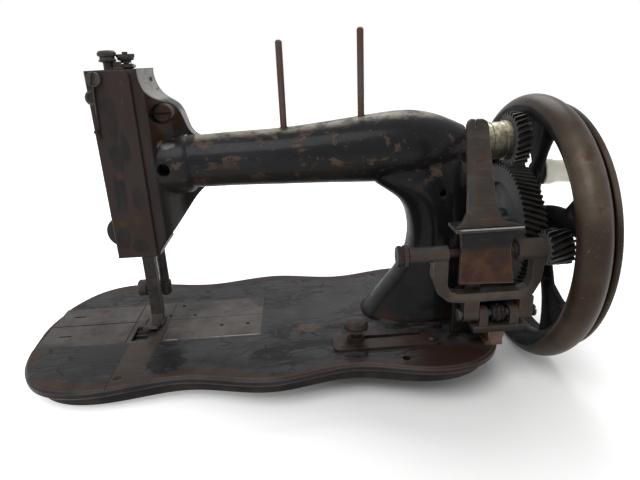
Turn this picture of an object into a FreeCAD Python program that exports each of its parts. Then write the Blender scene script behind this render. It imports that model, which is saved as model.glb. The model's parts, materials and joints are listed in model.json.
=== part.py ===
import FreeCAD, Part
import math
import os

# Hand-cranked lockstitch sewing machine on a fiddle-shaped bed, in millimetres.
# +X runs along the arm towards the handwheel, +Z is up and the operator sits on the -Y side.
# The origin is the centre of the four hold-down screws, on the underside of the bed.

V = FreeCAD.Vector
os.makedirs("parts", exist_ok=True)

# Bed
BED_TOP = 16.0
BED_PLATE = 7.0
BED_HALF_LENGTH = 194.0
BED_HALF_WIDTH = 92.0
BED_HALF_OUTLINE = [(-194, 0), (-185, 52), (-161, 83), (-128, 91), (-59, 81), (6, 92),
                    (68, 81), (123, 92.5), (166, 83), (185, 56), (190, 0)]
BED_ROUND = 1.8
SKIRT_INSET = 7.0
SKIRT_WALL = 5.0
HOLD_X, HOLD_Y, HOLD_R = 107.0, 77.0, 3.3
HOLD_BOSS_R = 9.0
PLATE_THICK = 2.5
PLATES_X0, PLATES_X1 = -188.5, -5.0
PLATES_Y0, PLATES_Y1 = -28.0, 41.0
PLATES_SEAM_Y = 8.0
NEEDLE_PLATE_X0, NEEDLE_PLATE_X1 = -116.0, -87.0
SLIDE_GAP = 0.4

# Shuttle race and feed dog, below the plates
RACE_X0, RACE_X1 = -176.0, -22.0
RACE_Y0, RACE_Y1 = -25.0, -3.0
RACE_WALL = 4.0
RACE_WINDOW_X0, RACE_WINDOW_X1 = -112.0, -99.0
FEED_X, FEED_Y = -100.0, 8.0
FEED_HALF_X, FEED_HALF_Y = 6.0, 5.0
SHUTTLE_X = -100.0
SHUTTLE_Y = (RACE_Y0 + RACE_Y1) / 2
SHUTTLE_Z0, SHUTTLE_Z1 = 8.0, 12.6
SHUTTLE_HALF = 27.0
SHUTTLE_HALF_WIDTH = 6.0

# Shafts: the arm shaft runs above the wheel stud, both along X
AXIS_Y = 4.0
WHEEL_Z = 86.5
MODULE = 1.5
TEETH_SHAFT, TEETH_DRIVE, TEETH_WINDER = 28, 72, 16
HELIX = math.radians(20.0)
BACKLASH = 0.14
RUN_FIT = 0.05
GEAR_X0 = 203.0
DRIVE_GEAR_X1 = 220.0
SHAFT_GEAR_X0, SHAFT_GEAR_X1 = 205.4, 216.8
PINION_X0, PINION_X1 = 212.0, 229.5
SHAFT_R = 8.0
BORE_R = SHAFT_R + RUN_FIT
STUD_R = 7.0
STUD_BOSS_R, STUD_ROOT_R = 17.0, 9.0
STUD_BOSS_X1 = 181.0
DRIVE_PHASE = math.radians(90)
BUSH_R = 12.0
BUSH_CUT_X1 = 182.0
RIGHT_BUSH = [(140, BORE_R), (140, BUSH_R), (177, BUSH_R), (177.5, 14.8), (188, 14.8), (188, 14.0),
              (190, 14.0), (190, 14.8), (200, 14.8), (201, 15.6), (204.9, 15.6), (204.9, BORE_R)]
LEFT_BUSH = [(-61, BORE_R), (-61, BUSH_R), (-38, BUSH_R), (-38, BORE_R)]


def pitch_radius(teeth):
    return MODULE * teeth / 2.0


SHAFT_Z = WHEEL_Z + pitch_radius(TEETH_SHAFT) + pitch_radius(TEETH_DRIVE)

# Bobbin winder: its spindle meshes with the drive gear just in front of it
WINDER_DZ = 5.75
WINDER_REACH = pitch_radius(TEETH_DRIVE) + pitch_radius(TEETH_WINDER)
WINDER_Y = AXIS_Y - math.sqrt(WINDER_REACH ** 2 - WINDER_DZ ** 2)
WINDER_Z = WHEEL_Z + WINDER_DZ
TO_SHAFT = math.radians(90)
TO_WINDER = math.atan2(WINDER_DZ, WINDER_Y - AXIS_Y)
WINDER_SPINDLE_R = 4.0
HINGE_Z = 41.0
HINGE_R = 3.0
YOKE_X0, YOKE_X1 = 128.0, 211.0
YOKE_WINDOW_X0, YOKE_WINDOW_X1 = 139.0, 203.0
YOKE_HALF_Y = 4.5
LUGS = [(153.0, 164.4), (195.6, 206.0)]
EARS = [(165.0, 171.5), (188.5, 195.0)]

# Thread-guide lever: a notched blade, a ledge and an apron in one plane in front of the bobbin
LEVER_PIN_Y, LEVER_PIN_Z, LEVER_PIN_R = WINDER_Y + 8.0, 107.5, 2.2
LEVER_POST_X0, LEVER_POST_X1 = 158.0, 168.0
BLADE_Y0, BLADE_Y1 = -71.0, -67.5
APRON_Y0, APRON_Y1 = -70.6, -67.2
LEDGE_Y0 = -72.8
LEDGE_Z0, LEDGE_Z1 = 111.2, 113.8
BLADE_LEFT = [(141.8, LEDGE_Z1), (146.5, 118.0), (149.0, 125.0), (148.7, 137.0), (145.9, 173.5), (145.1, 185.0),
              (146.0, 187.6), (148.0, 189.0)]
BLADE_NOTCH = [(150.2, 188.8), (150.6, 184.2), (151.4, 184.2), (151.8, 188.8)]
BLADE_RIGHT = [(155.6, 188.8), (158.2, 187.2), (159.4, 184.0), (161.1, 172.7), (165.5, 148.4), (169.1, 130.6),
               (172.5, 122.0), (179.0, 116.8), (189.3, LEDGE_Z1)]
APRON = [(145.0, LEDGE_Z0), (184.5, LEDGE_Z0), (182.0, 96.0), (187.0, 69.5), (146.2, 71.0), (146.6, 97.0)]

# Handwheel
RIM_X, RIM_R = 229.0, 99.8
RIM_HALF_X, RIM_HALF_R = 11.7, 10.5
FLANGE_X0, FLANGE_X1, FLANGE_R = 243.0, 248.0, 103.2
HUB_X0, HUB_X1, HUB_R = 222.0, 246.0, 16.0
SPOKE_X = 235.8
SPOKE_COUNT = 5
HANDLE_ARM, HANDLE_ANGLE = 46.0, math.radians(83.0)
HANDLE_X0, HANDLE_X1 = 246.5, 291.0
HANDLE_Y = AXIS_Y + HANDLE_ARM * math.cos(HANDLE_ANGLE)
HANDLE_Z = WHEEL_Z + HANDLE_ARM * math.sin(HANDLE_ANGLE)
SPOKE_SIDES = 12
SPOKE_STATIONS = [(11.0, 67, 11.0, 4.6), (28.0, 75, 9.8, 4.3), (46.0, 83, 9.2, 4.0), (64.0, 89.5, 9.0, 4.0),
                  (79.0, 94, 11.0, 4.3), (88.0, 95.5, 15.0, 4.8), (95.0, 97, 20.0, 5.0)]
GRIP_PROFILE = [(1.5, 10.3), (13.0, 9.6), (28.0, 11.2), (39.5, 10.6), (44.5, 7.0)]
GRIP_BASE_R, HANDLE_R = 9.2, 3.5

# Head: a box behind the face plate, whose front sweeps back to a thin web behind the arm
HEAD_X0 = -110.0
HEAD_Y0, HEAD_Y1 = -19.0, 27.0
HEAD_Z0, HEAD_Z1 = 88.5, 228.0
HEAD_WALL = 4.0
FACE_X1 = -80.0
FACE_THICK = 3.0
COVER_THICK = 3.0
WEB_Y = 21.0
BULB_X0, BULB_X1, BULB_R, BULB_Z = -81.0, -46.0, 22.8, 155.6
BULB_ROUND = 7.0
BULB_HOLE_X, BULB_HOLE_R = -66.5, 4.8
BARREL_X0 = -50.0
HEAD_SHOULDER = [(-75, 228), (-73.8, 217), (-70.5, 210.5), (-65, 205.3), (-58.6, 201), (-53.8, 192.8),
                 (-50.5, 181.5), (-44, 174.5)]
HEAD_CHIN = [(-30, 141), (-39, 136), (-47, 130), (-53.6, 122.7), (-58.5, 116.1), (-65.5, 107), (-72.4, 98.6),
             (-78, 91)]
HEAD_COVE = [(-72.5, HEAD_Y0), (-68.5, -13), (-64.3, -4), (-60, 5), (-54, 12), (-46, 17), (-30, WEB_Y)]
PIVOT_X, PIVOT_Z, PIVOT_R = -64.5, 196.0, 7.0
PIVOT_Y0, PIVOT_Y1 = -8.0, 9.0
PIVOT_SHANK_R, PIVOT_GAP = 3.0, 0.3
CRANK_R = 12.0
PRESSER_X, PRESSER_Y = -94.0, 2.0
PRESSER_HALF_X, PRESSER_HALF_Y = 5.0, 3.0
PRESSER_BOTTOM = 27.0
NEEDLE_X, NEEDLE_Y, NEEDLE_R = -88.0, 16.0, 4.0
NEEDLE_BOTTOM = 38.0
BAR_GAP = 0.25
CLAMP_Z0, CLAMP_Z1 = 40.5, 50.5
CLAMP_MID = (CLAMP_Z0 + CLAMP_Z1) / 2
CLAMP_REACH = 11.5
LIFTER_X, LIFTER_Z = -102.0, 106.0
LIFTER_Y0, LIFTER_Y1 = -10.0, -4.0
LIFTER_LOBE_X, LIFTER_LOBE_Z, LIFTER_LOBE_R = -107.0, 106.6, 12.5
PRESSURE_X, PRESSURE_Y = -100.0, 2.0
TENSION_X, TENSION_Y = -89.0, 9.0
TENSION_POST_R = 2.0

# Arm and pillar: round sections along X, then rounded sections up Z
BARREL_STATIONS = [(BARREL_X0, 157.5, 20.4), (-23, 157.6, 20.9), (2, 157.8, 21.5), (25, 158.0, 22.3),
                   (44, 158.6, 23.3), (64, 159.3, 24.6), (84, 160.1, 26.1), (102, 160.8, 27.3),
                   (120, 161.2, 28.0), (137, 160.8, 26.6), (153, 160.6, 21.8), (168, 161.5, 14.0)]
PILLAR_STATIONS = [(BED_TOP, 84, 184, 31), (21, 89, 182.5, 28.5), (32, 97.5, 181, 26.5), (46, 109, 179.5, 25),
                   (64, 120.5, 178.5, 24), (86, 125.5, 178, 24), (104, 123.5, 177.5, 24),
                   (118, 116.5, 177, 24.5), (128, 104, 176.5, 25), (142, 90, 175, 24), (153, 92, 172.5, 19)]
PILLAR_HOLE_X, PILLAR_HOLE_Z, PILLAR_HOLE_R = 147.0, 126.5, 3.0
SPOOL_PINS = [(25.0, 179.5, 244.0), (86.0, 185.7, 250.5)]
SPOOL_R, SPOOL_TENON_R, SPOOL_TENON = 2.6, 2.2, 5.0
SPOOL_SEAT_R = 3.9

# Stitch regulator
REG_X0, REG_X1 = 54.0, 138.0
REG_Y0, REG_Y1 = -64.0, -40.0
REG_THICK = 2.5
REG_SLOT_Y, REG_SLOT_R = -48.0, 2.6
REG_SLOT_X0, REG_SLOT_X1 = 72.0, 123.0


# Basic shapes

def box(x0, x1, y0, y1, z0, z1):
    return Part.makeBox(x1 - x0, y1 - y0, z1 - z0, V(x0, y0, z0))


def rod_x(radius, x0, x1, y, z):
    return Part.makeCylinder(radius, x1 - x0, V(x0, y, z), V(1, 0, 0))


def rod_y(radius, y0, y1, x, z):
    return Part.makeCylinder(radius, y1 - y0, V(x, y0, z), V(0, 1, 0))


def rod_z(radius, z0, z1, x, y):
    return Part.makeCylinder(radius, z1 - z0, V(x, y, z0), V(0, 0, 1))


def turn_x(profile, y, z):
    """Solid of revolution about an X axis, from (x, radius) corners."""
    corners = [V(x, y, z + radius) for x, radius in profile]
    face = Part.Face(Part.makePolygon(corners + corners[:1]))
    return face.revolve(V(0, y, z), V(1, 0, 0), 360)


def turn_z(profile, x, y):
    """Solid of revolution about a Z axis, from (radius, z) corners."""
    corners = [V(x + radius, y, z) for radius, z in profile]
    face = Part.Face(Part.makePolygon(corners + corners[:1]))
    return face.revolve(V(x, y, 0), V(0, 0, 1), 360)


def closed_curve(points):
    curve = Part.BSplineCurve()
    curve.interpolate(Points=points, PeriodicFlag=True)
    return Part.Wire(curve.toShape())


def smooth_edge(points):
    curve = Part.BSplineCurve()
    curve.interpolate(points)
    return curve.toShape()


def plate_xz(points, y0, y1):
    """Flat plate from (x, z) corners, between two Y planes."""
    corners = [V(x, y0, z) for x, z in points]
    return Part.Face(Part.makePolygon(corners + corners[:1])).extrude(V(0, y1 - y0, 0))


def plate_yz(points, x0, x1):
    """Flat plate from (y, z) corners, between two X planes."""
    corners = [V(x0, y, z) for y, z in points]
    return Part.Face(Part.makePolygon(corners + corners[:1])).extrude(V(x1 - x0, 0, 0))


def oval(x0, x1, y0, y1, z, corner=2.6):
    """Rounded section in a Z plane: a superellipse between the given sides."""
    points = []
    for step in range(16):
        angle = 2 * math.pi * step / 16
        reach = [math.copysign(abs(t) ** (2 / corner), t) for t in (math.cos(angle), math.sin(angle))]
        points.append(V((x0 + x1) / 2 + reach[0] * (x1 - x0) / 2,
                        (y0 + y1) / 2 + reach[1] * (y1 - y0) / 2, z))
    return closed_curve(points)


def save(name, shape):
    solid = shape.removeSplitter()
    solid.exportStep("parts/%s.step" % name)


# Bed and its plates

def bed_prism(inset, z0, z1):
    scale_x = (BED_HALF_LENGTH - inset) / BED_HALF_LENGTH
    scale_y = (BED_HALF_WIDTH - inset) / BED_HALF_WIDTH
    half = [(x * scale_x, y * scale_y) for x, y in BED_HALF_OUTLINE]
    ring = half + [(x, -y) for x, y in reversed(half[1:-1])]
    wire = closed_curve([V(x, y, z0) for x, y in ring])
    return Part.Face(wire).extrude(V(0, 0, z1 - z0))


def hold_points():
    return [(sx * HOLD_X, sy * HOLD_Y) for sx in (-1, 1) for sy in (-1, 1)]


def make_bed():
    skirt_top = BED_TOP - BED_PLATE
    plate = bed_prism(0, skirt_top, BED_TOP)
    rims = [edge for edge in plate.Edges if abs(edge.BoundBox.ZLength) < 0.01]
    plate = plate.makeChamfer(BED_ROUND, rims)
    skirt = bed_prism(SKIRT_INSET, 0, skirt_top).cut(bed_prism(SKIRT_INSET + SKIRT_WALL, 0, skirt_top))
    bed = plate.fuse(skirt)
    for x, y in hold_points():
        boss = rod_z(HOLD_BOSS_R, 0, skirt_top, x, y)
        bed = bed.fuse(boss.common(bed_prism(SKIRT_INSET, 0, skirt_top)))
    for x, y in hold_points():
        bed = bed.cut(rod_z(HOLD_R, -1, BED_TOP + 1, x, y))
    floor = BED_TOP - PLATE_THICK
    bed = bed.cut(box(-BED_HALF_LENGTH - 5, PLATES_X1, PLATES_Y0, PLATES_Y1, floor, BED_TOP + 1))
    bed = bed.cut(box(RACE_X0, RACE_X1, RACE_Y0, RACE_Y1, 0, BED_TOP))
    bed = bed.cut(box(FEED_X - FEED_HALF_X - 2, FEED_X + FEED_HALF_X + 2,
                      FEED_Y - FEED_HALF_Y - 2, FEED_Y + FEED_HALF_Y + 2, 0, BED_TOP))
    return bed


def make_needle_plate():
    floor = BED_TOP - PLATE_THICK
    plate = box(NEEDLE_PLATE_X0, NEEDLE_PLATE_X1, PLATES_Y0, PLATES_Y1, floor, BED_TOP)
    plate = plate.cut(box(FEED_X - FEED_HALF_X - 1, FEED_X + FEED_HALF_X + 1,
                          FEED_Y - FEED_HALF_Y - 1, FEED_Y + FEED_HALF_Y + 1, floor - 1, BED_TOP + 1))
    plate = plate.cut(box(RACE_WINDOW_X0, RACE_WINDOW_X1, RACE_Y0, RACE_Y1 + 1, floor - 1, BED_TOP + 1))
    return plate.cut(rod_z(1.3, floor - 1, BED_TOP + 1, NEEDLE_X, NEEDLE_Y))


def make_right_plate(y0, y1, holes):
    plate = box(NEEDLE_PLATE_X1, PLATES_X1, y0, y1, BED_TOP - PLATE_THICK, BED_TOP)
    for x, y in holes:
        plate = plate.cut(rod_z(1.6, 0, BED_TOP + 1, x, y))
    return plate


def make_slide_plate(y0, y1):
    plate = box(PLATES_X0, NEEDLE_PLATE_X0 - SLIDE_GAP, y0 + SLIDE_GAP, y1 - SLIDE_GAP,
                BED_TOP - PLATE_THICK + 0.05, BED_TOP - 0.05)
    grip = box(-176.0, -166.0, (y0 + y1) / 2 - 1.0, (y0 + y1) / 2 + 1.0, BED_TOP - 0.9, BED_TOP)
    return plate.cut(grip)


def make_shuttle_race():
    race = box(RACE_X0, RACE_X1, RACE_Y0, RACE_Y1, 2.0, BED_TOP - PLATE_THICK)
    return race.cut(box(RACE_X0 + RACE_WALL, RACE_X1 - RACE_WALL, RACE_Y0 + RACE_WALL, RACE_Y1 - RACE_WALL,
                        5.0, BED_TOP))


def make_shuttle():
    nose = V(SHUTTLE_X - SHUTTLE_HALF, SHUTTLE_Y, SHUTTLE_Z0)
    tail = V(SHUTTLE_X + SHUTTLE_HALF, SHUTTLE_Y, SHUTTLE_Z0)
    front = Part.Arc(nose, V(SHUTTLE_X, SHUTTLE_Y - SHUTTLE_HALF_WIDTH, SHUTTLE_Z0), tail).toShape()
    rear = Part.Arc(tail, V(SHUTTLE_X, SHUTTLE_Y + SHUTTLE_HALF_WIDTH, SHUTTLE_Z0), nose).toShape()
    boat = Part.Face(Part.Wire([front, rear])).extrude(V(0, 0, SHUTTLE_Z1 - SHUTTLE_Z0))
    return boat.cut(box(SHUTTLE_X - 15, SHUTTLE_X + 15, SHUTTLE_Y - 2.5, SHUTTLE_Y + 2.5, 9.5, 14))


def make_shuttle_carrier():
    y0, y1 = RACE_Y0 + RACE_WALL + 0.3, RACE_Y1 - RACE_WALL - 0.3
    return box(SHUTTLE_X - 30, SHUTTLE_X + 30, y0, y1, 5.05, SHUTTLE_Z0)


def make_feed_dog():
    dog = box(FEED_X - FEED_HALF_X, FEED_X + FEED_HALF_X, FEED_Y - FEED_HALF_Y, FEED_Y + FEED_HALF_Y,
              4.0, BED_TOP + 0.5)
    for row in range(4):
        y = FEED_Y - FEED_HALF_Y + 1.0 + 2.4 * row
        dog = dog.cut(box(FEED_X - FEED_HALF_X, FEED_X + FEED_HALF_X, y, y + 1.0, BED_TOP - 0.7, BED_TOP + 1))
    return dog.cut(box(FEED_X - 1.5, FEED_X + 1.5, FEED_Y - 6, FEED_Y + 6, BED_TOP - 0.7, BED_TOP + 1))


# Arm, pillar and head, one casting

def make_barrel():
    rings = []
    for x, z, radius in BARREL_STATIONS:
        rings.append(Part.Wire(Part.Circle(V(x, AXIS_Y, z), V(1, 0, 0), radius).toShape()))
    return Part.makeLoft(rings, True)


def make_pillar():
    rings = [oval(x0, x1, AXIS_Y - half, AXIS_Y + half, z) for z, x0, x1, half in PILLAR_STATIONS]
    return Part.makeLoft(rings, True)


def head_face(y):
    """Side outline of the head, with its stepped shoulder above and its chin below the arm."""
    shoulder = smooth_edge([V(x, y, z) for x, z in HEAD_SHOULDER])
    chin = smooth_edge([V(x, y, z) for x, z in HEAD_CHIN])
    corners = HEAD_CHIN[-1:] + [(HEAD_CHIN[-1][0], HEAD_Z0), (HEAD_X0, HEAD_Z0), (HEAD_X0, HEAD_Z1)]
    rest = Part.makePolygon([V(x, y, z) for x, z in corners + HEAD_SHOULDER[:1]])
    neck = Part.makePolygon([V(x, y, z) for x, z in (HEAD_SHOULDER[-1], HEAD_CHIN[0])])
    return Part.Face(Part.Wire([shoulder] + neck.Edges + [chin] + rest.Edges))


def head_cove():
    """Space in front of the web, right of the face plate, that the head's front sweeps back along."""
    z0, z1 = HEAD_Z0 - 10, HEAD_Z1 + 10
    sweep = smooth_edge([V(x, y, z0) for x, y in HEAD_COVE])
    (near_x, near_y), (far_x, far_y) = HEAD_COVE[0], HEAD_COVE[-1]
    corners = [(far_x, far_y), (far_x, HEAD_Y0 - 10), (near_x, HEAD_Y0 - 10), (near_x, near_y)]
    rest = Part.makePolygon([V(x, y, z0) for x, y in corners])
    return Part.Face(Part.Wire([sweep] + rest.Edges)).extrude(V(0, 0, z1 - z0))


def make_bulb():
    """Round swelling where the arm meets the head, with a rounded right end."""
    bulb = rod_x(BULB_R, BULB_X0, BULB_X1, AXIS_Y, BULB_Z)
    return bulb.makeFillet(BULB_ROUND, [edge for edge in bulb.Edges if edge.BoundBox.XMin > BULB_X1 - 0.01])


def make_head():
    head = head_face(HEAD_Y0).extrude(V(0, HEAD_Y1 - HEAD_Y0, 0)).cut(head_cove())
    head = head.fuse(make_bulb())
    inner_x0, inner_x1 = HEAD_X0 + HEAD_WALL, FACE_X1 - 3.0
    inner_z0, inner_z1 = HEAD_Z0 + 5.0, HEAD_Z1 - HEAD_WALL
    head = head.cut(box(inner_x0, inner_x1, HEAD_Y0 - 1, WEB_Y + 2.0, inner_z0, inner_z1))
    head = head.cut(rod_x(CRANK_R + 1.0, inner_x1 - 1, -62.0, AXIS_Y, SHAFT_Z))
    head = head.cut(rod_y(BULB_HOLE_R, HEAD_Y0 - 5, AXIS_Y, BULB_HOLE_X, BULB_Z))
    head = head.cut(rod_y(PIVOT_R + PIVOT_GAP, HEAD_Y0 - 5, PIVOT_Y1, PIVOT_X, PIVOT_Z))
    head = head.cut(rod_y(PIVOT_SHANK_R, PIVOT_Y1, HEAD_Y1 + 1, PIVOT_X, PIVOT_Z))
    head = head.cut(box(PRESSER_X - PRESSER_HALF_X - BAR_GAP, PRESSER_X + PRESSER_HALF_X + BAR_GAP,
                        PRESSER_Y - PRESSER_HALF_Y - BAR_GAP, PRESSER_Y + PRESSER_HALF_Y + BAR_GAP,
                        HEAD_Z0 - 1, inner_z0 + 1))
    head = head.cut(rod_z(NEEDLE_R + BAR_GAP, HEAD_Z0 - 1, inner_z0 + 1, NEEDLE_X, NEEDLE_Y))
    head = head.cut(box(HEAD_X0 - 1, inner_x0 + 1, LIFTER_Y0 - 1, LIFTER_Y1 + 1, HEAD_Z0 - 1, 126.0))
    head = head.cut(box(HEAD_X0 - 1, -91.0, LIFTER_Y0 - 1, LIFTER_Y1 + 1, HEAD_Z0 - 1, inner_z0 + 1))
    head = head.cut(rod_z(3.5 + RUN_FIT, HEAD_Z1 - 6, HEAD_Z1 + 1, PRESSURE_X, PRESSURE_Y))
    return head.cut(rod_z(TENSION_POST_R, HEAD_Z1 - 6, HEAD_Z1 + 1, TENSION_X, TENSION_Y))


def make_arm():
    arm = make_barrel().fuse(make_pillar())
    arm = arm.fuse(rod_x(STUD_BOSS_R, 150, STUD_BOSS_X1, AXIS_Y, WHEEL_Z))
    arm = arm.fuse(make_head())
    arm = arm.cut(rod_x(SHAFT_R + 2.5, -63, 150, AXIS_Y, SHAFT_Z))
    arm = arm.cut(rod_x(BUSH_R, 140, BUSH_CUT_X1, AXIS_Y, SHAFT_Z))
    arm = arm.cut(rod_x(BUSH_R, -62, -38, AXIS_Y, SHAFT_Z))
    arm = arm.cut(rod_x(STUD_ROOT_R, 140, BUSH_CUT_X1, AXIS_Y, WHEEL_Z))
    for x, z0, z1 in SPOOL_PINS:
        arm = arm.cut(rod_z(SPOOL_SEAT_R, z0, z1, x, AXIS_Y))
        arm = arm.cut(rod_z(SPOOL_TENON_R, z0 - SPOOL_TENON, z1, x, AXIS_Y))
    return arm.cut(rod_y(PILLAR_HOLE_R, -40, -12, PILLAR_HOLE_X, PILLAR_HOLE_Z))


def make_spool_pin(x, z0, z1):
    foot = z0 - SPOOL_TENON
    return turn_z([(0, foot), (SPOOL_TENON_R, foot), (SPOOL_TENON_R, z0), (SPOOL_R, z0), (SPOOL_R, z1 - 1.2),
                   (SPOOL_R - 1.2, z1), (0, z1)], x, AXIS_Y)


def make_face_plate():
    plate = box(HEAD_X0, FACE_X1, HEAD_Y0 - FACE_THICK, HEAD_Y0, HEAD_Z0, HEAD_Z1)
    corner = [e for e in plate.Edges if e.BoundBox.ZMin > HEAD_Z1 - 0.01 and e.BoundBox.XMin > FACE_X1 - 0.01]
    plate = plate.makeFillet(6.0, corner)
    front = [edge for edge in plate.Edges if edge.BoundBox.YMax < HEAD_Y0 - FACE_THICK + 0.01]
    return plate.makeChamfer(0.7, front)


def make_rear_cover():
    return head_face(HEAD_Y1).extrude(V(0, COVER_THICK, 0))


def make_pivot_screw():
    head = rod_y(PIVOT_R, PIVOT_Y0, PIVOT_Y1, PIVOT_X, PIVOT_Z)
    rim = [edge for edge in head.Edges if edge.BoundBox.YMax < PIVOT_Y0 + 0.01]
    head = head.makeChamfer(1.2, rim)
    slot = box(PIVOT_X - 9, PIVOT_X + 9, PIVOT_Y0 - 1, PIVOT_Y0 + 1.6, PIVOT_Z - 0.8, PIVOT_Z + 0.8)
    return head.cut(slot).fuse(rod_y(PIVOT_SHANK_R, PIVOT_Y1, HEAD_Y1, PIVOT_X, PIVOT_Z))


def make_thread_guide():
    front = HEAD_Y0 - FACE_THICK
    strip = plate_xz([(-109.0, 224), (-104.0, 224), (-104.5, 206), (-106.0, 182), (-108.0, 182), (-109.0, 206)],
                     front - 1.5, front)
    return strip.fuse(rod_y(1.3, front - 6.0, front, -107.0, 187.0))


# Bars below the head

def make_presser_bar():
    return box(PRESSER_X - PRESSER_HALF_X, PRESSER_X + PRESSER_HALF_X,
               PRESSER_Y - PRESSER_HALF_Y, PRESSER_Y + PRESSER_HALF_Y, PRESSER_BOTTOM, 206.0)


def make_presser_foot():
    """Ankle under the bar and a sole with an upturned toe, cut back on its right."""
    sole_z, sole_top = BED_TOP + 1.4, BED_TOP + 3.8
    ankle = plate_yz([(-1.4, PRESSER_BOTTOM), (5.4, PRESSER_BOTTOM), (6.5, sole_top), (-4.0, sole_top)],
                     PRESSER_X - 5.0, PRESSER_X + 4.0)
    sole = plate_yz([(11, sole_z), (11, sole_top), (-9, sole_top), (-14, sole_top + 2.6), (-15, sole_top + 0.8),
                     (-10, sole_z)], PRESSER_X - 9.5, PRESSER_X + 4.5)
    return ankle.fuse(sole).cut(box(PRESSER_X + 1.5, PRESSER_X + 6, -16, -5, sole_z - 1, sole_top + 4))


def make_needle_bar():
    r = NEEDLE_R
    return turn_z([(0, NEEDLE_BOTTOM), (r - 1, NEEDLE_BOTTOM), (r, NEEDLE_BOTTOM + 1), (r, 189.0),
                   (r - 1, 190.0), (0, 190.0)], NEEDLE_X, NEEDLE_Y)


def make_needle_clamp():
    collar = rod_z(NEEDLE_R + 1.2, CLAMP_Z0, CLAMP_Z1, NEEDLE_X, NEEDLE_Y)
    lug = box(NEEDLE_X - CLAMP_REACH, NEEDLE_X, NEEDLE_Y - 3.5, NEEDLE_Y + 3.5, CLAMP_Z0, CLAMP_Z1)
    return collar.fuse(lug).cut(rod_z(NEEDLE_R, CLAMP_Z0 - 1, CLAMP_Z1 + 1, NEEDLE_X, NEEDLE_Y))


def make_clamp_screw():
    """Thumb screw that closes the needle clamp from the left."""
    x = NEEDLE_X - CLAMP_REACH
    return turn_x([(x, 0), (x, 2.4), (x - 3.5, 2.4), (x - 3.5, 6.0), (x - 4.4, 7.0), (x - 10.6, 7.0),
                   (x - 11.5, 6.0), (x - 11.5, 0)], NEEDLE_Y, CLAMP_MID)


def make_presser_lifter():
    lobe = rod_y(LIFTER_LOBE_R, LIFTER_Y0, LIFTER_Y1, LIFTER_LOBE_X, LIFTER_LOBE_Z)
    return lobe.cut(rod_y(2.5 + RUN_FIT, LIFTER_Y0 - 1, LIFTER_Y1 + 1, LIFTER_X, LIFTER_Z))


def make_pressure_screw():
    z = HEAD_Z1
    return turn_z([(0, z - 3.5), (3.5, z - 3.5), (3.5, z + 5.0), (6.0, z + 5.7), (6.3, z + 6.7),
                   (5.3, z + 7.5), (5.3, z + 8.9), (6.3, z + 9.7), (6.3, z + 11.9), (5.2, z + 13.1),
                   (0, z + 13.5)], PRESSURE_X, PRESSURE_Y)


def make_tension_post():
    return rod_z(TENSION_POST_R, HEAD_Z1 - 4.0, HEAD_Z1 + 12.0, TENSION_X, TENSION_Y)


def make_tension_discs():
    z = HEAD_Z1
    r = TENSION_POST_R
    return turn_z([(r, z), (4.0, z), (6.6, z + 1.2), (6.6, z + 1.8), (4.6, z + 1.5), (4.6, z + 2.3),
                   (6.6, z + 2.0), (6.6, z + 2.6), (4.0, z + 3.8), (r, z + 3.8)], TENSION_X, TENSION_Y)


def make_tension_nut():
    z = HEAD_Z1 + 4.2
    bore = TENSION_POST_R + RUN_FIT
    return turn_z([(bore, z), (3.8, z), (3.8, z + 1.6), (5.6, z + 2.0), (6.0, z + 2.8), (6.0, z + 4.4),
                   (5.0, z + 5.4), (bore, z + 5.4)], TENSION_X, TENSION_Y)


# Arm shaft, wheel and gears

def tooth_half_angle(teeth, radius):
    """Half the angle that one involute tooth takes up at a radius."""
    base = pitch_radius(teeth) * math.cos(math.radians(20))

    def involute(r):
        pressure = math.acos(min(1.0, base / max(r, base)))
        return math.tan(pressure) - pressure
    thickness = math.pi * MODULE / 2 - BACKLASH
    return thickness / (2 * pitch_radius(teeth)) + involute(pitch_radius(teeth)) - involute(radius)


def gear_ring(teeth, x, y, z, phase):
    pitch_r = pitch_radius(teeth)
    levels = [pitch_r - 1.05 * MODULE, pitch_r, pitch_r + 0.85 * MODULE]
    points = []
    for tooth in range(teeth):
        middle = phase + 2 * math.pi * tooth / teeth
        flank = [(r, tooth_half_angle(teeth, r)) for r in levels]
        for r, half in flank:
            points.append(V(x, y + r * math.cos(middle - half), z + r * math.sin(middle - half)))
        for r, half in reversed(flank):
            points.append(V(x, y + r * math.cos(middle + half), z + r * math.sin(middle + half)))
    return Part.makePolygon(points + points[:1])


def ruled_patch(low, high):
    """Four-cornered face between two edges that run the same way."""
    patch = Part.BSplineSurface()
    for row, edge in enumerate((low, high), 1):
        for column, vertex in enumerate((edge.Vertexes[0], edge.Vertexes[-1]), 1):
            patch.setPole(row, column, vertex.Point)
    return patch.toShape()


def helical_gear(teeth, x0, x1, y, z, phase, hand):
    """Helical gear whose teeth pass through the phase angle at the plane of GEAR_X0."""
    rate = hand * math.tan(HELIX) / pitch_radius(teeth)
    rings = [gear_ring(teeth, x, y, z, phase + rate * (x - GEAR_X0)) for x in (x0, (x0 + x1) / 2, x1)]
    faces = [Part.Face(rings[0]), Part.Face(rings[-1])]
    for near, far in zip(rings, rings[1:]):
        for low, high in zip(near.Edges, far.Edges):
            faces.append(ruled_patch(low, high))
    skin = Part.Compound(faces)
    skin.sewShape()
    return Part.Solid(skin.Shells[0])


def mating_phase(teeth, direction, other_teeth, other_phase):
    """Phase that puts a tooth gap where the other gear, seen along direction, has a tooth."""
    other_step = 2 * math.pi / other_teeth
    step = 2 * math.pi / teeth
    offset = ((direction - other_phase) / other_step) % 1.0
    return direction + math.pi - (0.5 - offset) * step


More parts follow.
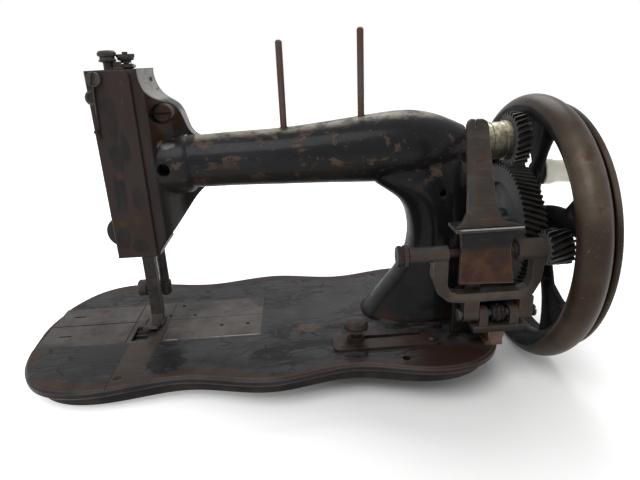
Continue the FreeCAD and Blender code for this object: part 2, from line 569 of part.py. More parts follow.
def make_drive_gear():
    gear = helical_gear(TEETH_DRIVE, GEAR_X0, DRIVE_GEAR_X1, AXIS_Y, WHEEL_Z, DRIVE_PHASE, 1)
    recess = turn_x([(GEAR_X0 - 1, 15), (GEAR_X0 - 1, 40), (GEAR_X0 + 5, 38), (GEAR_X0 + 5, 17)],
                    AXIS_Y, WHEEL_Z)
    hub = rod_x(HUB_R, DRIVE_GEAR_X1, HUB_X0, AXIS_Y, WHEEL_Z)
    return gear.cut(recess).fuse(hub).cut(rod_x(STUD_R + RUN_FIT, 195, 230, AXIS_Y, WHEEL_Z))


def make_shaft_gear():
    phase = mating_phase(TEETH_SHAFT, TO_SHAFT, TEETH_DRIVE, DRIVE_PHASE)
    gear = helical_gear(TEETH_SHAFT, SHAFT_GEAR_X0, SHAFT_GEAR_X1, AXIS_Y, SHAFT_Z, phase, -1)
    return gear.cut(rod_x(SHAFT_R, 195, 230, AXIS_Y, SHAFT_Z))


def make_winder_pinion():
    phase = mating_phase(TEETH_WINDER, TO_WINDER, TEETH_DRIVE, DRIVE_PHASE)
    gear = helical_gear(TEETH_WINDER, PINION_X0, PINION_X1, WINDER_Y, WINDER_Z, phase, -1)
    return gear.cut(rod_x(WINDER_SPINDLE_R, 200, 240, WINDER_Y, WINDER_Z))


def make_arm_shaft():
    end = SHAFT_GEAR_X1 + 8.0
    profile = [(-61.5, 0), (-61.5, SHAFT_R), (end - 2, SHAFT_R), (end, SHAFT_R - 2), (end, 0)]
    return turn_x(profile, AXIS_Y, SHAFT_Z)


def make_needle_crank():
    disc = rod_x(CRANK_R, -70, -61.5, AXIS_Y, SHAFT_Z)
    return disc.fuse(rod_x(2.5, -79, -70, AXIS_Y, SHAFT_Z - 8.5))


def make_bush(profile):
    return turn_x(profile, AXIS_Y, SHAFT_Z)


def make_wheel_stud():
    root, end = STUD_BOSS_X1, HUB_X1 + 7
    shoulder = GEAR_X0 - 0.6
    return turn_x([(140, 0), (140, STUD_ROOT_R), (root, STUD_ROOT_R), (root, 13.5), (shoulder, 13.5),
                   (shoulder, STUD_R), (end, STUD_R), (end, 0)], AXIS_Y, WHEEL_Z)


def make_stud_nut():
    x0 = HUB_X1 + 0.6
    profile = [(x0, STUD_R), (x0, 13.0), (x0 + 2, 13.0), (x0 + 2, 10.5), (x0 + 5.4, 10.5), (x0 + 6.4, 9.5),
               (x0 + 6.4, STUD_R)]
    return turn_x(profile, AXIS_Y, WHEEL_Z)


def rim_solid():
    middle = V(RIM_X, AXIS_Y, WHEEL_Z + RIM_R)
    section = Part.Ellipse(middle + V(RIM_HALF_X, 0, 0), middle + V(0, 0, RIM_HALF_R), middle)
    face = Part.Face(Part.Wire(section.toShape()))
    rim = face.revolve(V(0, AXIS_Y, WHEEL_Z), V(1, 0, 0), 360)
    flange = turn_x([(RIM_X + 8, 93), (RIM_X + 8, 100), (FLANGE_X0, 98.5), (FLANGE_X0, FLANGE_R - 1.5),
                     (FLANGE_X0 + 1.5, FLANGE_R), (FLANGE_X1 - 1.5, FLANGE_R), (FLANGE_X1, FLANGE_R - 1.5),
                     (FLANGE_X1, 94.0), (FLANGE_X1 - 2, 92.5)], AXIS_Y, WHEEL_Z)
    return rim.fuse(flange)


def make_spoke(start):
    """Curved spoke: oval sections at stations of radius, angle, half width and half depth."""
    rings = []
    for radius, swing, half_width, half_depth in SPOKE_STATIONS:
        angle = start + math.radians(swing)
        out = V(0, math.cos(angle), math.sin(angle))
        across = V(0, -math.sin(angle), math.cos(angle))
        centre = V(SPOKE_X, AXIS_Y, WHEEL_Z) + out * radius
        points = []
        for step in range(SPOKE_SIDES):
            turn = 2 * math.pi * step / SPOKE_SIDES
            points.append(centre + across * (half_width * math.cos(turn))
                          + V(half_depth * math.sin(turn), 0, 0))
        rings.append(closed_curve(points))
    return Part.makeLoft(rings, True)


def make_handwheel():
    hub = turn_x([(HUB_X0, 0), (HUB_X0, HUB_R), (230, HUB_R), (233, 19.5), (241, 19.5), (HUB_X1, HUB_R - 1),
                  (HUB_X1, 0)], AXIS_Y, WHEEL_Z)
    wheel = rim_solid().fuse(hub)
    for spoke in range(SPOKE_COUNT):
        wheel = wheel.fuse(make_spoke(2 * math.pi * spoke / SPOKE_COUNT))
    boss = turn_x([(SPOKE_X - 3, 0), (SPOKE_X - 3, 9.0), (SPOKE_X + 6, 8.5), (HANDLE_X0 - 1.5, 7.5),
                   (HANDLE_X0 - 1.5, 0)], HANDLE_Y, HANDLE_Z)
    wheel = wheel.fuse(boss)
    wheel = wheel.cut(rod_x(STUD_R + RUN_FIT, 200, 260, AXIS_Y, WHEEL_Z))
    return wheel.cut(rod_x(4.0, SPOKE_X, HANDLE_X0, HANDLE_Y, HANDLE_Z))


def make_handle_spindle():
    inner, outer = HANDLE_X0 - 0.3, HANDLE_X1 + 0.3
    return turn_x([(SPOKE_X, 0), (SPOKE_X, 4.0), (inner - 1.2, 4.0), (inner - 1.2, 7.0), (inner, 7.0),
                   (inner, HANDLE_R), (outer, HANDLE_R), (outer, 6.0), (outer + 2.2, 5.0), (outer + 2.2, 0)],
                  HANDLE_Y, HANDLE_Z)


def make_handle_grip():
    waist = [V(HANDLE_X0 + x, HANDLE_Y, HANDLE_Z + radius) for x, radius in GRIP_PROFILE]
    bore = HANDLE_Z + HANDLE_R + RUN_FIT
    base = V(HANDLE_X0, HANDLE_Y, HANDLE_Z + GRIP_BASE_R)
    ends = [waist[-1], V(HANDLE_X1, HANDLE_Y, bore), V(HANDLE_X0, HANDLE_Y, bore), base, waist[0]]
    face = Part.Face(Part.Wire([smooth_edge(waist)] + Part.makePolygon(ends).Edges))
    return face.revolve(V(0, HANDLE_Y, HANDLE_Z), V(1, 0, 0), 360)


# Bobbin winder

def make_winder_yoke():
    y0, y1 = WINDER_Y - YOKE_HALF_Y, WINDER_Y + YOKE_HALF_Y
    outer = plate_xz([(YOKE_X0, WINDER_Z), (YOKE_X0, 74), (132, 62), (140, 55), (148, 53.5), (198, 53.5),
                      (205, 57), (209.5, 66), (YOKE_X1, 76), (YOKE_X1, WINDER_Z)], y0, y1)
    window = plate_xz([(YOKE_WINDOW_X0, 110), (YOKE_WINDOW_X0, 68), (142, 63), (148, 60.5), (195, 60.5),
                       (200.5, 63), (YOKE_WINDOW_X1, 70), (YOKE_WINDOW_X1, 110)], y0 - 1, y1 + 1)
    yoke = outer.cut(window)
    yoke = yoke.fuse(rod_x(6.0, 110.5, YOKE_WINDOW_X0, WINDER_Y, WINDER_Z))
    yoke = yoke.fuse(rod_x(8.0, 190.0, 211.4, WINDER_Y, WINDER_Z))
    for x0, x1 in LUGS:
        lug = box(x0, x1, y0, y1, HINGE_Z, 55)
        yoke = yoke.fuse(lug).fuse(rod_x(YOKE_HALF_Y + 1.0, x0, x1, WINDER_Y, HINGE_Z))
        yoke = yoke.cut(rod_x(HINGE_R + RUN_FIT, x0 - 1, x1 + 1, WINDER_Y, HINGE_Z))
    post = plate_yz([(WINDER_Y, 53.5), (LEVER_PIN_Y + 3.5, 53.5), (LEVER_PIN_Y + 3.5, LEVER_PIN_Z),
                     (LEVER_PIN_Y - 2.0, LEVER_PIN_Z), (LEVER_PIN_Y - 2.0, 60.5), (WINDER_Y, 60.5)],
                    LEVER_POST_X0, LEVER_POST_X1)
    yoke = yoke.fuse(post).fuse(rod_x(4.2, LEVER_POST_X0, LEVER_POST_X1, LEVER_PIN_Y, LEVER_PIN_Z))
    yoke = yoke.cut(rod_x(LEVER_PIN_R, 140, 190, LEVER_PIN_Y, LEVER_PIN_Z))
    yoke = yoke.cut(rod_x(WINDER_SPINDLE_R + RUN_FIT, 189, 213, WINDER_Y, WINDER_Z))
    return yoke.cut(rod_x(3.0 + RUN_FIT, 100, 140, WINDER_Y, WINDER_Z))


def make_lever_pin():
    return rod_x(LEVER_PIN_R, 148.5, 177.5, LEVER_PIN_Y, LEVER_PIN_Z)


def make_guide_lever():
    """Thread guide: tapered blade with a notched top, a ledge at its foot and an apron before the bobbin."""
    blade = plate_xz(BLADE_LEFT + BLADE_NOTCH + BLADE_RIGHT, BLADE_Y0, BLADE_Y1)
    shelf = box(141.3, 189.9, LEDGE_Y0, LEVER_PIN_Y, LEDGE_Z0, LEDGE_Z1)
    apron = plate_xz(APRON, APRON_Y0, APRON_Y1)
    lever = blade.fuse(shelf).fuse(apron)
    for x0, x1 in ((150.0, LEVER_POST_X0 - 0.4), (LEVER_POST_X1 + 0.4, 176.0)):
        ear = rod_x(4.2, x0, x1, LEVER_PIN_Y, LEVER_PIN_Z)
        web = box(x0, x1, LEVER_PIN_Y - 4.0, LEVER_PIN_Y, LEVER_PIN_Z, LEDGE_Z1)
        lever = lever.fuse(ear).fuse(web)
        lever = lever.cut(rod_x(LEVER_PIN_R + RUN_FIT, x0 - 1, x1 + 1, LEVER_PIN_Y, LEVER_PIN_Z))
    relief = rod_x(4.7, LEVER_POST_X0 - 0.4, LEVER_POST_X1 + 0.4, LEVER_PIN_Y, LEVER_PIN_Z)
    return lever.cut(relief)


def make_winder_spindle():
    return turn_x([(184.5, 0), (185.5, 2.0), (188.5, 2.0), (188.5, WINDER_SPINDLE_R),
                   (PINION_X1 + 0.6, WINDER_SPINDLE_R), (PINION_X1 + 0.6, 0)], WINDER_Y, WINDER_Z)


def make_winder_centre():
    return turn_x([(101.5, 0), (101.5, 7.0), (102.5, 8.0), (104.5, 8.0), (105.0, 7.2), (105.8, 7.2),
                   (106.3, 8.0), (109.0, 8.0), (110.0, 7.0), (110.0, 3.0), (148.0, 3.0), (151.0, 0.6),
                   (151.0, 0)], WINDER_Y, WINDER_Z)


def make_hinge_block():
    y0, y1 = WINDER_Y - 6.0, WINDER_Y + 6.0
    block = box(160.0, 200.0, y0 - 1, y1 + 2, 28.0, 33.0)
    for x0, x1 in EARS:
        ear = box(x0, x1, y0, y1, 33.0, HINGE_Z).fuse(rod_x(6.0, x0, x1, WINDER_Y, HINGE_Z))
        block = block.fuse(ear)
    return block.cut(rod_x(HINGE_R, 150, 210, WINDER_Y, HINGE_Z))


def make_hinge_pin():
    return rod_x(HINGE_R, 151.0, 208.0, WINDER_Y, HINGE_Z)


def make_winder_post():
    pad = box(171.0, 184.0, -68.0, -38.0, BED_TOP, BED_TOP + 3.0)
    tongue = plate_xz([(173.0, BED_TOP + 3), (183.5, BED_TOP + 3), (185.0, 28), (172.0, 28)], -68.0, -54.0)
    return pad.fuse(tongue)


# Stitch regulator

def make_regulator_plate():
    plate = box(REG_X0, REG_X1, REG_Y0, REG_Y1, BED_TOP, BED_TOP + REG_THICK)
    corners = [edge for edge in plate.Edges if edge.BoundBox.ZLength > 1.0]
    plate = plate.makeFillet(5.0, corners)
    y0, y1 = REG_SLOT_Y - REG_SLOT_R, REG_SLOT_Y + REG_SLOT_R
    slot = box(REG_SLOT_X0, REG_SLOT_X1, y0, y1, BED_TOP - 1, BED_TOP + 3)
    for x in (REG_SLOT_X0, REG_SLOT_X1):
        slot = slot.fuse(rod_z(REG_SLOT_R, BED_TOP - 1, BED_TOP + 3, x, REG_SLOT_Y))
    return plate.cut(slot)


def make_regulator_screw():
    z = BED_TOP + REG_THICK + 0.1
    return turn_z([(0, BED_TOP + 0.2), (2.3, BED_TOP + 0.2), (2.3, z), (7.0, z), (7.0, z + 2.2), (3.6, z + 3.4),
                   (3.6, z + 8.0), (9.0, z + 9.4), (9.8, z + 11.0), (9.8, z + 12.6), (8.0, z + 14.6),
                   (4.0, z + 15.6), (0, z + 15.8)], REG_SLOT_X0 + 0.5, REG_SLOT_Y)


# Every piece, by the name of its node

def make_all():
    save("bed", make_bed())
    save("needle_plate", make_needle_plate())
    save("bed_plate_rear", make_right_plate(PLATES_SEAM_Y, PLATES_Y1, [(-79, 33.5), (-65.5, 14)]))
    save("bed_plate_front", make_right_plate(PLATES_Y0, PLATES_SEAM_Y, [(-39, -7.5), (-16.5, -7.5)]))
    save("slide_plate_rear", make_slide_plate(PLATES_SEAM_Y, PLATES_Y1))
    save("slide_plate_front", make_slide_plate(PLATES_Y0, PLATES_SEAM_Y))
    save("shuttle_race", make_shuttle_race())
    save("shuttle_carrier", make_shuttle_carrier())
    save("shuttle", make_shuttle())
    save("feed_dog", make_feed_dog())
    save("arm", make_arm())
    save("face_plate", make_face_plate())
    save("rear_cover", make_rear_cover())
    save("pivot_screw", make_pivot_screw())
    save("thread_guide", make_thread_guide())
    for name, (x, z0, z1) in zip(("spool_pin_left", "spool_pin_right"), SPOOL_PINS):
        save(name, make_spool_pin(x, z0, z1))
    save("presser_bar", make_presser_bar())
    save("presser_foot", make_presser_foot())
    save("needle_bar", make_needle_bar())
    save("needle_clamp", make_needle_clamp())
    save("clamp_screw", make_clamp_screw())
    save("presser_lifter", make_presser_lifter())
    save("lifter_pin", rod_y(2.5, HEAD_Y0, -3.0, LIFTER_X, LIFTER_Z))
    save("pressure_screw", make_pressure_screw())
    save("tension_post", make_tension_post())
    save("tension_discs", make_tension_discs())
    save("tension_nut", make_tension_nut())
    save("arm_shaft", make_arm_shaft())
    save("shaft_gear", make_shaft_gear())
    save("needle_crank", make_needle_crank())
    save("bush_right", make_bush(RIGHT_BUSH))
    save("bush_left", make_bush(LEFT_BUSH))
    save("wheel_stud", make_wheel_stud())
    save("stud_nut", make_stud_nut())
    save("handwheel", make_handwheel())
    save("drive_gear", make_drive_gear())
    save("handle_spindle", make_handle_spindle())
    save("handle_grip", make_handle_grip())
    save("winder_yoke", make_winder_yoke())
    save("lever_pin", make_lever_pin())
    save("guide_lever", make_guide_lever())
    save("winder_spindle", make_winder_spindle())
    save("winder_pinion", make_winder_pinion())
    save("winder_centre", make_winder_centre())
    save("hinge_block", make_hinge_block())
    save("hinge_pin", make_hinge_pin())
    save("winder_post", make_winder_post())
    save("regulator_plate", make_regulator_plate())
    save("regulator_screw", make_regulator_screw())


make_all()
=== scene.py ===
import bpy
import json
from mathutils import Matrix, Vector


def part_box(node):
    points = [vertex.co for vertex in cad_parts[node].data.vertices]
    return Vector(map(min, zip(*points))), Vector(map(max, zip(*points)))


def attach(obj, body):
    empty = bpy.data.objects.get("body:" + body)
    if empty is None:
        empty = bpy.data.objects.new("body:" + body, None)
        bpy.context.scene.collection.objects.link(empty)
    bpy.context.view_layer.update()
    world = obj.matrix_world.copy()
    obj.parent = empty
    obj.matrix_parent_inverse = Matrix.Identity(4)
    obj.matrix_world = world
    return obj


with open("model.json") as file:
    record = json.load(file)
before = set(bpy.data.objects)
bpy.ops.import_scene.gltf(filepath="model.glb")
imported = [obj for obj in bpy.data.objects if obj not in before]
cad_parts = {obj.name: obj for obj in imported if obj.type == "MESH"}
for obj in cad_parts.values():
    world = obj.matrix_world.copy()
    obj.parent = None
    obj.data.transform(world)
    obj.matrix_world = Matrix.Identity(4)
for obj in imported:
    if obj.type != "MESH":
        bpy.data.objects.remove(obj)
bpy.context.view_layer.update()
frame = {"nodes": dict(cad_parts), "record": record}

import json
import math

import bmesh
import bpy
from bpy.props import FloatProperty, FloatVectorProperty, IntProperty, PointerProperty
from mathutils import Matrix, Vector

bl_info = {
    "name": "Old sewing machine",
    "version": (1, 0, 0),
    "blender": (4, 5, 0),
    "location": "3D View > Sidebar > Machine",
    "description": "Dresses the sewing machine's solids with worn finishes, screws, knurls and a studio",
    "category": "Object",
}

MM = 0.001


def middle(node):
    """Middle of a node's box."""
    low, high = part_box(node)
    return (low + high) / 2


# Places in the machine's frame

PLATE_LOW, PLATE_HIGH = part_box("needle_plate")
FACE_LOW, FACE_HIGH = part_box("face_plate")
GUIDE_LOW, GUIDE_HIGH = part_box("thread_guide")
YOKE_LOW, YOKE_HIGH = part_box("winder_yoke")
LEVER_LOW, LEVER_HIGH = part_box("guide_lever")
WHEEL_LOW, WHEEL_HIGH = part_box("handwheel")
BED_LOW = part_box("bed")[0]
BED_TOP = PLATE_HIGH.z
HEAD_TOP = FACE_HIGH.z
SHAFT_Z = middle("arm_shaft").z
WHEEL_MIDDLE = middle("handwheel")
UP = (0, 0, 1)
FRONT = (0, -1, 0)
BACK = (0, 1, 0)
LEFT = (-1, 0, 0)
RIGHT = (1, 0, 0)


def colour(name, description, default):
    return FloatVectorProperty(name=name, description=description, default=default, size=3, min=0, max=1,
                               subtype="COLOR")


def length(name, description, millimetres):
    return FloatProperty(name=name, description=description, default=millimetres * MM, unit="LENGTH",
                         precision=5)


class MachineFinishes(bpy.types.PropertyGroup):
    """Colours of the machine's worn finishes."""
    japan: colour("Japan", "Black stoving enamel on the castings", (0.0045, 0.0046, 0.0052))
    chips: colour("Chips", "Brown iron where the enamel has gone", (0.062, 0.042, 0.032))
    ridge: colour("Ridge", "Bare metal along the top of the arm", (0.20, 0.18, 0.14))
    bare_band: colour("Bare band", "Filed edge of the head", (0.23, 0.225, 0.21))
    bed_scuff: colour("Bed scuff", "Grey wear on top of the bed", (0.044, 0.045, 0.047))
    bed_edge: colour("Bed edge", "Brown wear along the edge of the bed", (0.040, 0.028, 0.023))
    face: colour("Face", "Brown of the face plate", (0.023, 0.0165, 0.0150))
    smear: colour("Smear", "Dark oil on the face plate", (0.0125, 0.0138, 0.0138))
    steel: colour("Steel", "Stained steel of the bed plates", (0.058, 0.051, 0.047))
    gunmetal: colour("Gunmetal", "Dark steel of bars and knobs", (0.026, 0.022, 0.020))
    nickel: colour("Nickel", "Yellowed nickel of the shaft bush", (0.46, 0.43, 0.30))
    rim: colour("Rim", "Brown patina of the wheel's rim", (0.026, 0.0180, 0.0130))
    rust: colour("Rust", "Red-brown rust", (0.085, 0.036, 0.018))
    dust: colour("Dust", "Grey dust on the flat of the large gear", (0.072, 0.072, 0.072))
    winder: colour("Winder", "Brown-grey iron of the winder", (0.030, 0.024, 0.020))
    regulator: colour("Regulator", "Dull brown of the regulator plate", (0.034, 0.022, 0.018))
    porcelain: colour("Porcelain", "Cream glaze of the crank grip", (0.80, 0.78, 0.63))
    spool: colour("Spool pin", "Dark rust brown of the spool pins", (0.056, 0.040, 0.036))


class MachineSizes(bpy.types.PropertyGroup):
    """Sizes of the screws, wires, knurls and studio."""
    plate_screw: length("Plate screw", "Radius of the screws in the regulator plate", 2.0)
    hold_screw: length("Hold-down screw", "Radius of the screws left in the bed's holes", 3.2)
    cover_screw: length("Cover screw", "Radius of the screws in the rear cover", 3.2)
    guide_screw: length("Guide screw", "Radius of the screw that holds the thread guide", 5.0)
    shoulder_screw: length("Shoulder screw", "Radius of the screws in the head's shoulder", 1.7)
    hinge_screw: length("Hinge screw", "Radius of the screw heads on the winder's hinge", 4.6)
    lever_screw: length("Lever screw", "Radius of the screw in the thread-guide lever", 1.6)
    wire: length("Wire", "Radius of the straight wire on the thread guide", 0.9)
    hook: length("Hook", "Radius of the wire bent to a hook beside it", 1.2)
    coil: length("Coil", "Radius of the wire of the hinge's coils", 1.8)
    knurls: IntProperty(name="Knurls", description="Ridges round a thumb screw", default=30, min=12, max=60)
    floor: length("Floor", "Half the width of the studio floor", 3000)


# Finishes

BUMP_STRENGTH = 0.5
COAT_ROUGHNESS = 0.14
CORNER_BLUNT = 0.985
CORNER_SHARP = 0.90
BLOT_RAGGEDNESS = 5.0
BLOT_OUTER = 3.8
BLOT_INNER = 3.2
CRACK_BEND = 12 * MM


class Graph:
    """Nodes of a material or world."""

    def __init__(self, owner):
        owner.use_nodes = True
        self.nodes = owner.node_tree.nodes
        self.links = owner.node_tree.links

    def feed(self, socket, value):
        """Links an input to a socket, or sets it to a colour, vector or number."""
        if isinstance(value, bpy.types.NodeSocket):
            self.links.new(value, socket)
        else:
            socket.default_value = (*value, 1.0) if socket.type == "RGBA" else value

    def add(self, kind, inputs, **settings):
        """Adds a node, sets it, feeds its inputs and returns its outputs."""
        node = self.nodes.new("ShaderNode" + kind)
        for name, value in settings.items():
            setattr(node, name, value)
        for socket, value in inputs.items():
            self.feed(node.inputs[socket], value)
        return node.outputs

    def sum(self, operation, *values):
        """One step of arithmetic."""
        return self.add("Math", dict(enumerate(values)), operation=operation)[0]


class Look(Graph):
    """One procedural finish, built on the piece's own Object coordinates."""

    def __init__(self, name):
        self.material = bpy.data.materials.new(name)
        super().__init__(self.material)
        self.base = None
        coords = self.add("TexCoord", {})
        self.place = coords["Object"]
        self.x, self.y, self.z = self.add("SeparateXYZ", {0: self.place})
        self.nx, self.ny, self.nz = self.add("SeparateXYZ", {0: coords["Normal"]})

    def stretched(self, place, stretch):
        return self.add("Mapping", {"Vector": place, "Scale": stretch})[0]

    def noise(self, scale, detail=6.0, rough=0.6, stretch=(1, 1, 1), warp=0.0):
        inputs = {"Vector": self.stretched(self.place, stretch), "Scale": scale, "Detail": detail,
                  "Roughness": rough, "Distortion": warp}
        return self.add("TexNoise", inputs)["Fac"]

    def step(self, value, low, high, start=0.0, end=1.0):
        """Rises from start at low to end at high, and stays level outside."""
        inputs = dict(enumerate((value, low, high, start, end)))
        return self.add("MapRange", inputs, interpolation_type="SMOOTHSTEP")[0]

    def grain(self, levels, *noise):
        """A step between levels of a noise."""
        return self.step(self.noise(*noise), *levels)

    def ramp(self, value, place, first, last, start=0.0, end=1.0):
        """A step between two distances from a place, in millimetres."""
        return self.step(value, place + first * MM, place + last * MM, start, end)

    def between(self, value, place, first, last, soft=0.4):
        """Mask of what lies between two distances from a place, with soft ends, in millimetres."""
        rise = self.ramp(value, place, first - soft, first + soft)
        return self.all_of(rise, self.ramp(value, place, last + soft, last - soft))

    def all_of(self, *masks):
        product = masks[0]
        for mask in masks[1:]:
            product = self.sum("MULTIPLY", product, mask)
        return product

    def either(self, *masks):
        widest = masks[0]
        for mask in masks[1:]:
            widest = self.sum("MAXIMUM", widest, mask)
        return widest

    def outside(self, mask):
        return self.sum("SUBTRACT", 1.0, mask)

    def mix(self, factor, first, second):
        return self.add("Mix", {0: factor, 6: first, 7: second}, data_type="RGBA")[2]

    def mottle(self, factor, tint, strength):
        """A colour mixed with a darker or lighter shade of itself."""
        return self.mix(factor, tint, shade(tint, strength))

    def over(self, mask, tint):
        """Lays a colour over the base where the mask is."""
        self.base = self.mix(mask, self.base, tint)

    def edges(self, radius):
        """Mask of the corners, where the rounded normal leaves the flat one."""
        rounded = self.add("Bevel", {"Radius": radius}, samples=4)[0]
        flat = self.add("NewGeometry", {})["Normal"]
        dot = self.add("VectorMath", {0: rounded, 1: flat}, operation="DOT_PRODUCT")["Value"]
        return self.step(dot, CORNER_BLUNT, CORNER_SHARP)

    def blot(self, across, along, centre, reach, ragged):
        """Mask of a ragged oval round a centre, both in millimetres."""
        away = 0.0
        for value, place, half in zip((across, along), centre, reach):
            off = self.sum("MULTIPLY_ADD", value, 1 / (half * MM), -place / half)
            away = self.sum("MULTIPLY_ADD", off, off, away)
        away = self.sum("MULTIPLY_ADD", ragged, BLOT_RAGGEDNESS, away)
        return self.step(away, BLOT_OUTER, BLOT_INNER)

    def blots(self, across, along, spots, ragged):
        """Mask of several blots, each given by its centre and reach."""
        return self.either(*[self.blot(across, along, *spot, ragged) for spot in spots])

    def cracks(self, scale, stretch, width):
        """Mask of fine crack lines in old varnish."""
        inputs = {0: self.noise(60, 5), 1: (CRACK_BEND,) * 3, 2: self.place}
        bent = self.add("VectorMath", inputs, operation="MULTIPLY_ADD")[0]
        inputs = {"Vector": self.stretched(bent, stretch), "Scale": scale}
        cells = self.add("TexVoronoi", inputs, feature="DISTANCE_TO_EDGE")
        return self.step(cells["Distance"], width, 0.0)

    def done(self, roughness, metallic, height, depth, shine=0.5, coat=0.0, crease=0.0):
        """Feeds the shader and returns the material; crease softens the normals of sharp corners."""
        bump = {"Height": height, "Distance": depth, "Strength": BUMP_STRENGTH}
        if crease:
            bump["Normal"] = self.add("Bevel", {"Radius": crease}, samples=8)[0]
        inputs = {"Base Color": self.base, "Roughness": roughness, "Metallic": metallic,
                  "Specular IOR Level": shine, "Coat Weight": coat, "Coat Roughness": COAT_ROUGHNESS,
                  "Normal": self.add("Bump", bump)[0]}
        for name, value in inputs.items():
            self.feed(self.nodes["Principled BSDF"].inputs[name], value)
        return self.material


def shade(value, factor):
    """A colour made darker or lighter by a factor."""
    return tuple(channel * factor for channel in value[:3])


# Finish of the arm and head; blots are placed by x and z

# colour of the painted sheen on the arm's barrel
ENAMEL_PAINTED_SHEEN = (0.019, 0.0185, 0.022)
ENAMEL_BELOW = (0.0190, 0.0168, 0.0145)
PILLAR_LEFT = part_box("bush_right")[0].x - 40 * MM
BULB_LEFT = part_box("bush_left")[1].x - 4.5 * MM
SHOULDER_Z = SHAFT_Z + 10.5 * MM
STRIP_RIGHT = FACE_HIGH.x + 9 * MM
BULB_HIGHLIGHT = ((-63.5, 174), (5.5, 4))
PIVOT = middle("pivot_screw") / MM
SCREW_CLEARING = ((PIVOT.x, PIVOT.z), (9.5, 9.5))


def arm_enamel(look, tints, cloud):
    """Black enamel with a painted bluish sheen on the arm towards the head, and brownish on its lower front.
    """
    look.base = look.mottle(look.step(cloud, 0.35, 0.7), tints.japan, 2.2)
    # painted sheen: a bluish lighter patch on the barrel's side, towards the head
    painted_sheen = look.all_of(look.grain((0.42, 0.66), 28, 8, 0.65, (0.5, 1, 1)),
                       look.ramp(look.z, SHAFT_Z, -23.5, -1.5),
                       look.ramp(look.x, PILLAR_LEFT, 10, -130, 0.25, 0.9))
    look.over(painted_sheen, ENAMEL_PAINTED_SHEEN)
    lower = look.all_of(look.ramp(look.z, SHAFT_Z, -4.5, -15.5), look.ramp(look.x, PILLAR_LEFT, 0, -40),
                        look.step(look.ny, -0.1, -0.4))
    look.over(lower, ENAMEL_BELOW)


def head_wear(look, tints):
    """Bare ridge and shoulder, a painted highlight with scuffs on the bulb, a rusty web and a brown strip
    beside the face plate.
    """
    ridge = look.all_of(look.step(look.nz, 0.80, 0.985), look.grain((0.38, 0.56), 60, 8),
                        look.ramp(look.z, SHAFT_Z, 8.5, 14.5), look.ramp(look.x, BULB_LEFT, -2, 0))
    look.over(ridge, tints.ridge)
    # painted highlight on the bulb's top front, partly scuffed bare metal
    bulb_highlight = look.all_of(look.blot(look.x, look.z, *BULB_HIGHLIGHT, look.noise(190, 9, 0.8, (0.3, 1, 1))),
                        look.ramp(look.y, FACE_HIGH.y, 11, 7))
    look.over(bulb_highlight, shade(tints.bare_band, 0.5))
    shoulder = look.all_of(look.ramp(look.x, BULB_LEFT, 0, -3.5), look.ramp(look.z, SHOULDER_Z, 0, 6),
                           look.step(look.nx, 0.10, 0.25), look.step(look.ny, -0.20, -0.08),
                           look.outside(look.blot(look.x, look.z, *SCREW_CLEARING, 0.5)),
                           look.grain((0.25, 0.55, 0.7), 140, 8))
    look.over(shoulder, tints.bare_band)
    web = look.all_of(look.ramp(look.x, BULB_LEFT, 2.5, -7.5), look.ramp(look.z, SHOULDER_Z, 0, 10),
                      look.step(look.ny, -0.15, -0.35), look.grain((0.36, 0.55), 55, 8))
    look.over(web, shade(tints.rust, 0.26))
    strip = look.all_of(look.ramp(look.y, FACE_HIGH.y, 0.8, 0.2), look.ramp(look.x, STRIP_RIGHT, 0, -0.6))
    streaks = look.grain((0.36, 0.62), 40, 8, 0.6, (1, 1, 0.2))
    look.over(strip, look.mix(streaks, shade(tints.face, 0.55), shade(tints.face, 1.1)))


def arm_look(tints):
    """Black enamel with brown chips along the arm, rust at the pillar's foot and a worn head."""
    look = Look("worn_black_arm")
    cloud = look.noise(16)
    arm_enamel(look, tints, cloud)
    brown = look.mottle(look.grain((0.4, 0.6), 90), tints.chips, 0.5)
    upper = look.ramp(look.z, SHAFT_Z, -35.5, -13.5, 0.12, 1.0)
    flakes = look.grain((0.565, 0.605), 88, 9, 0.60, (0.8, 1, 1), 0.3)
    flakes = look.all_of(flakes, upper, look.grain((0.30, 0.46), 14, 3))
    look.over(flakes, brown)
    specks = look.all_of(look.grain((0.66, 0.69), 330, 4), upper)
    look.over(specks, tints.chips)
    foot = look.all_of(look.ramp(look.z, BED_TOP, 18, 2), look.grain((0.44, 0.60), 60, 8))
    look.over(foot, shade(tints.rust, 0.30))
    head_wear(look, tints)
    bulb = look.between(look.z, SHAFT_Z, -31.5, 20.5, 2)
    worn = look.all_of(look.edges(1.2 * MM), look.step(cloud, 0.34, 0.55), look.outside(bulb))
    look.over(worn, tints.chips)
    rough = look.grain((0.3, 0.75, 0.34, 0.56), 75, 8)
    rough = look.either(rough, look.sum("MULTIPLY", flakes, 0.7))
    height = look.sum("SUBTRACT", look.sum("MULTIPLY", look.noise(240, 6), 0.35), flakes)
    return look.done(rough, 0.0, height, 0.2 * MM, shine=0.06, coat=0.12, crease=7 * MM)


# Finish of the bed; blots are placed by x and y

CRACK_BLACK = (0.006, 0.0045, 0.004)
SEAM_BLACK = (0.006, 0.005, 0.005)
OIL_BLACK = (0.004, 0.0042, 0.005)
RED_WEAR = (0.020, 0.0092, 0.0078)
SKIRT_DARK = (0.010, 0.0085, 0.008)
SKIRT_PALE = (0.028, 0.02, 0.017)
SKIRT_TOP = BED_LOW.z + 9 * MM
WAVE_LENGTH = 123 * MM
WAVE_START = 6 * MM
WAVE_HEIGHT = 5.5 * MM
WAVE_MIDDLE = 86.5 * MM
BED_END = 190 * MM
RED_LEFT = 100 * MM
RED_BACK = -50 * MM
OIL_STAIN = ((-75, -60), (15, 15))
BALD_SPOT = ((35, -22), (10, 6))


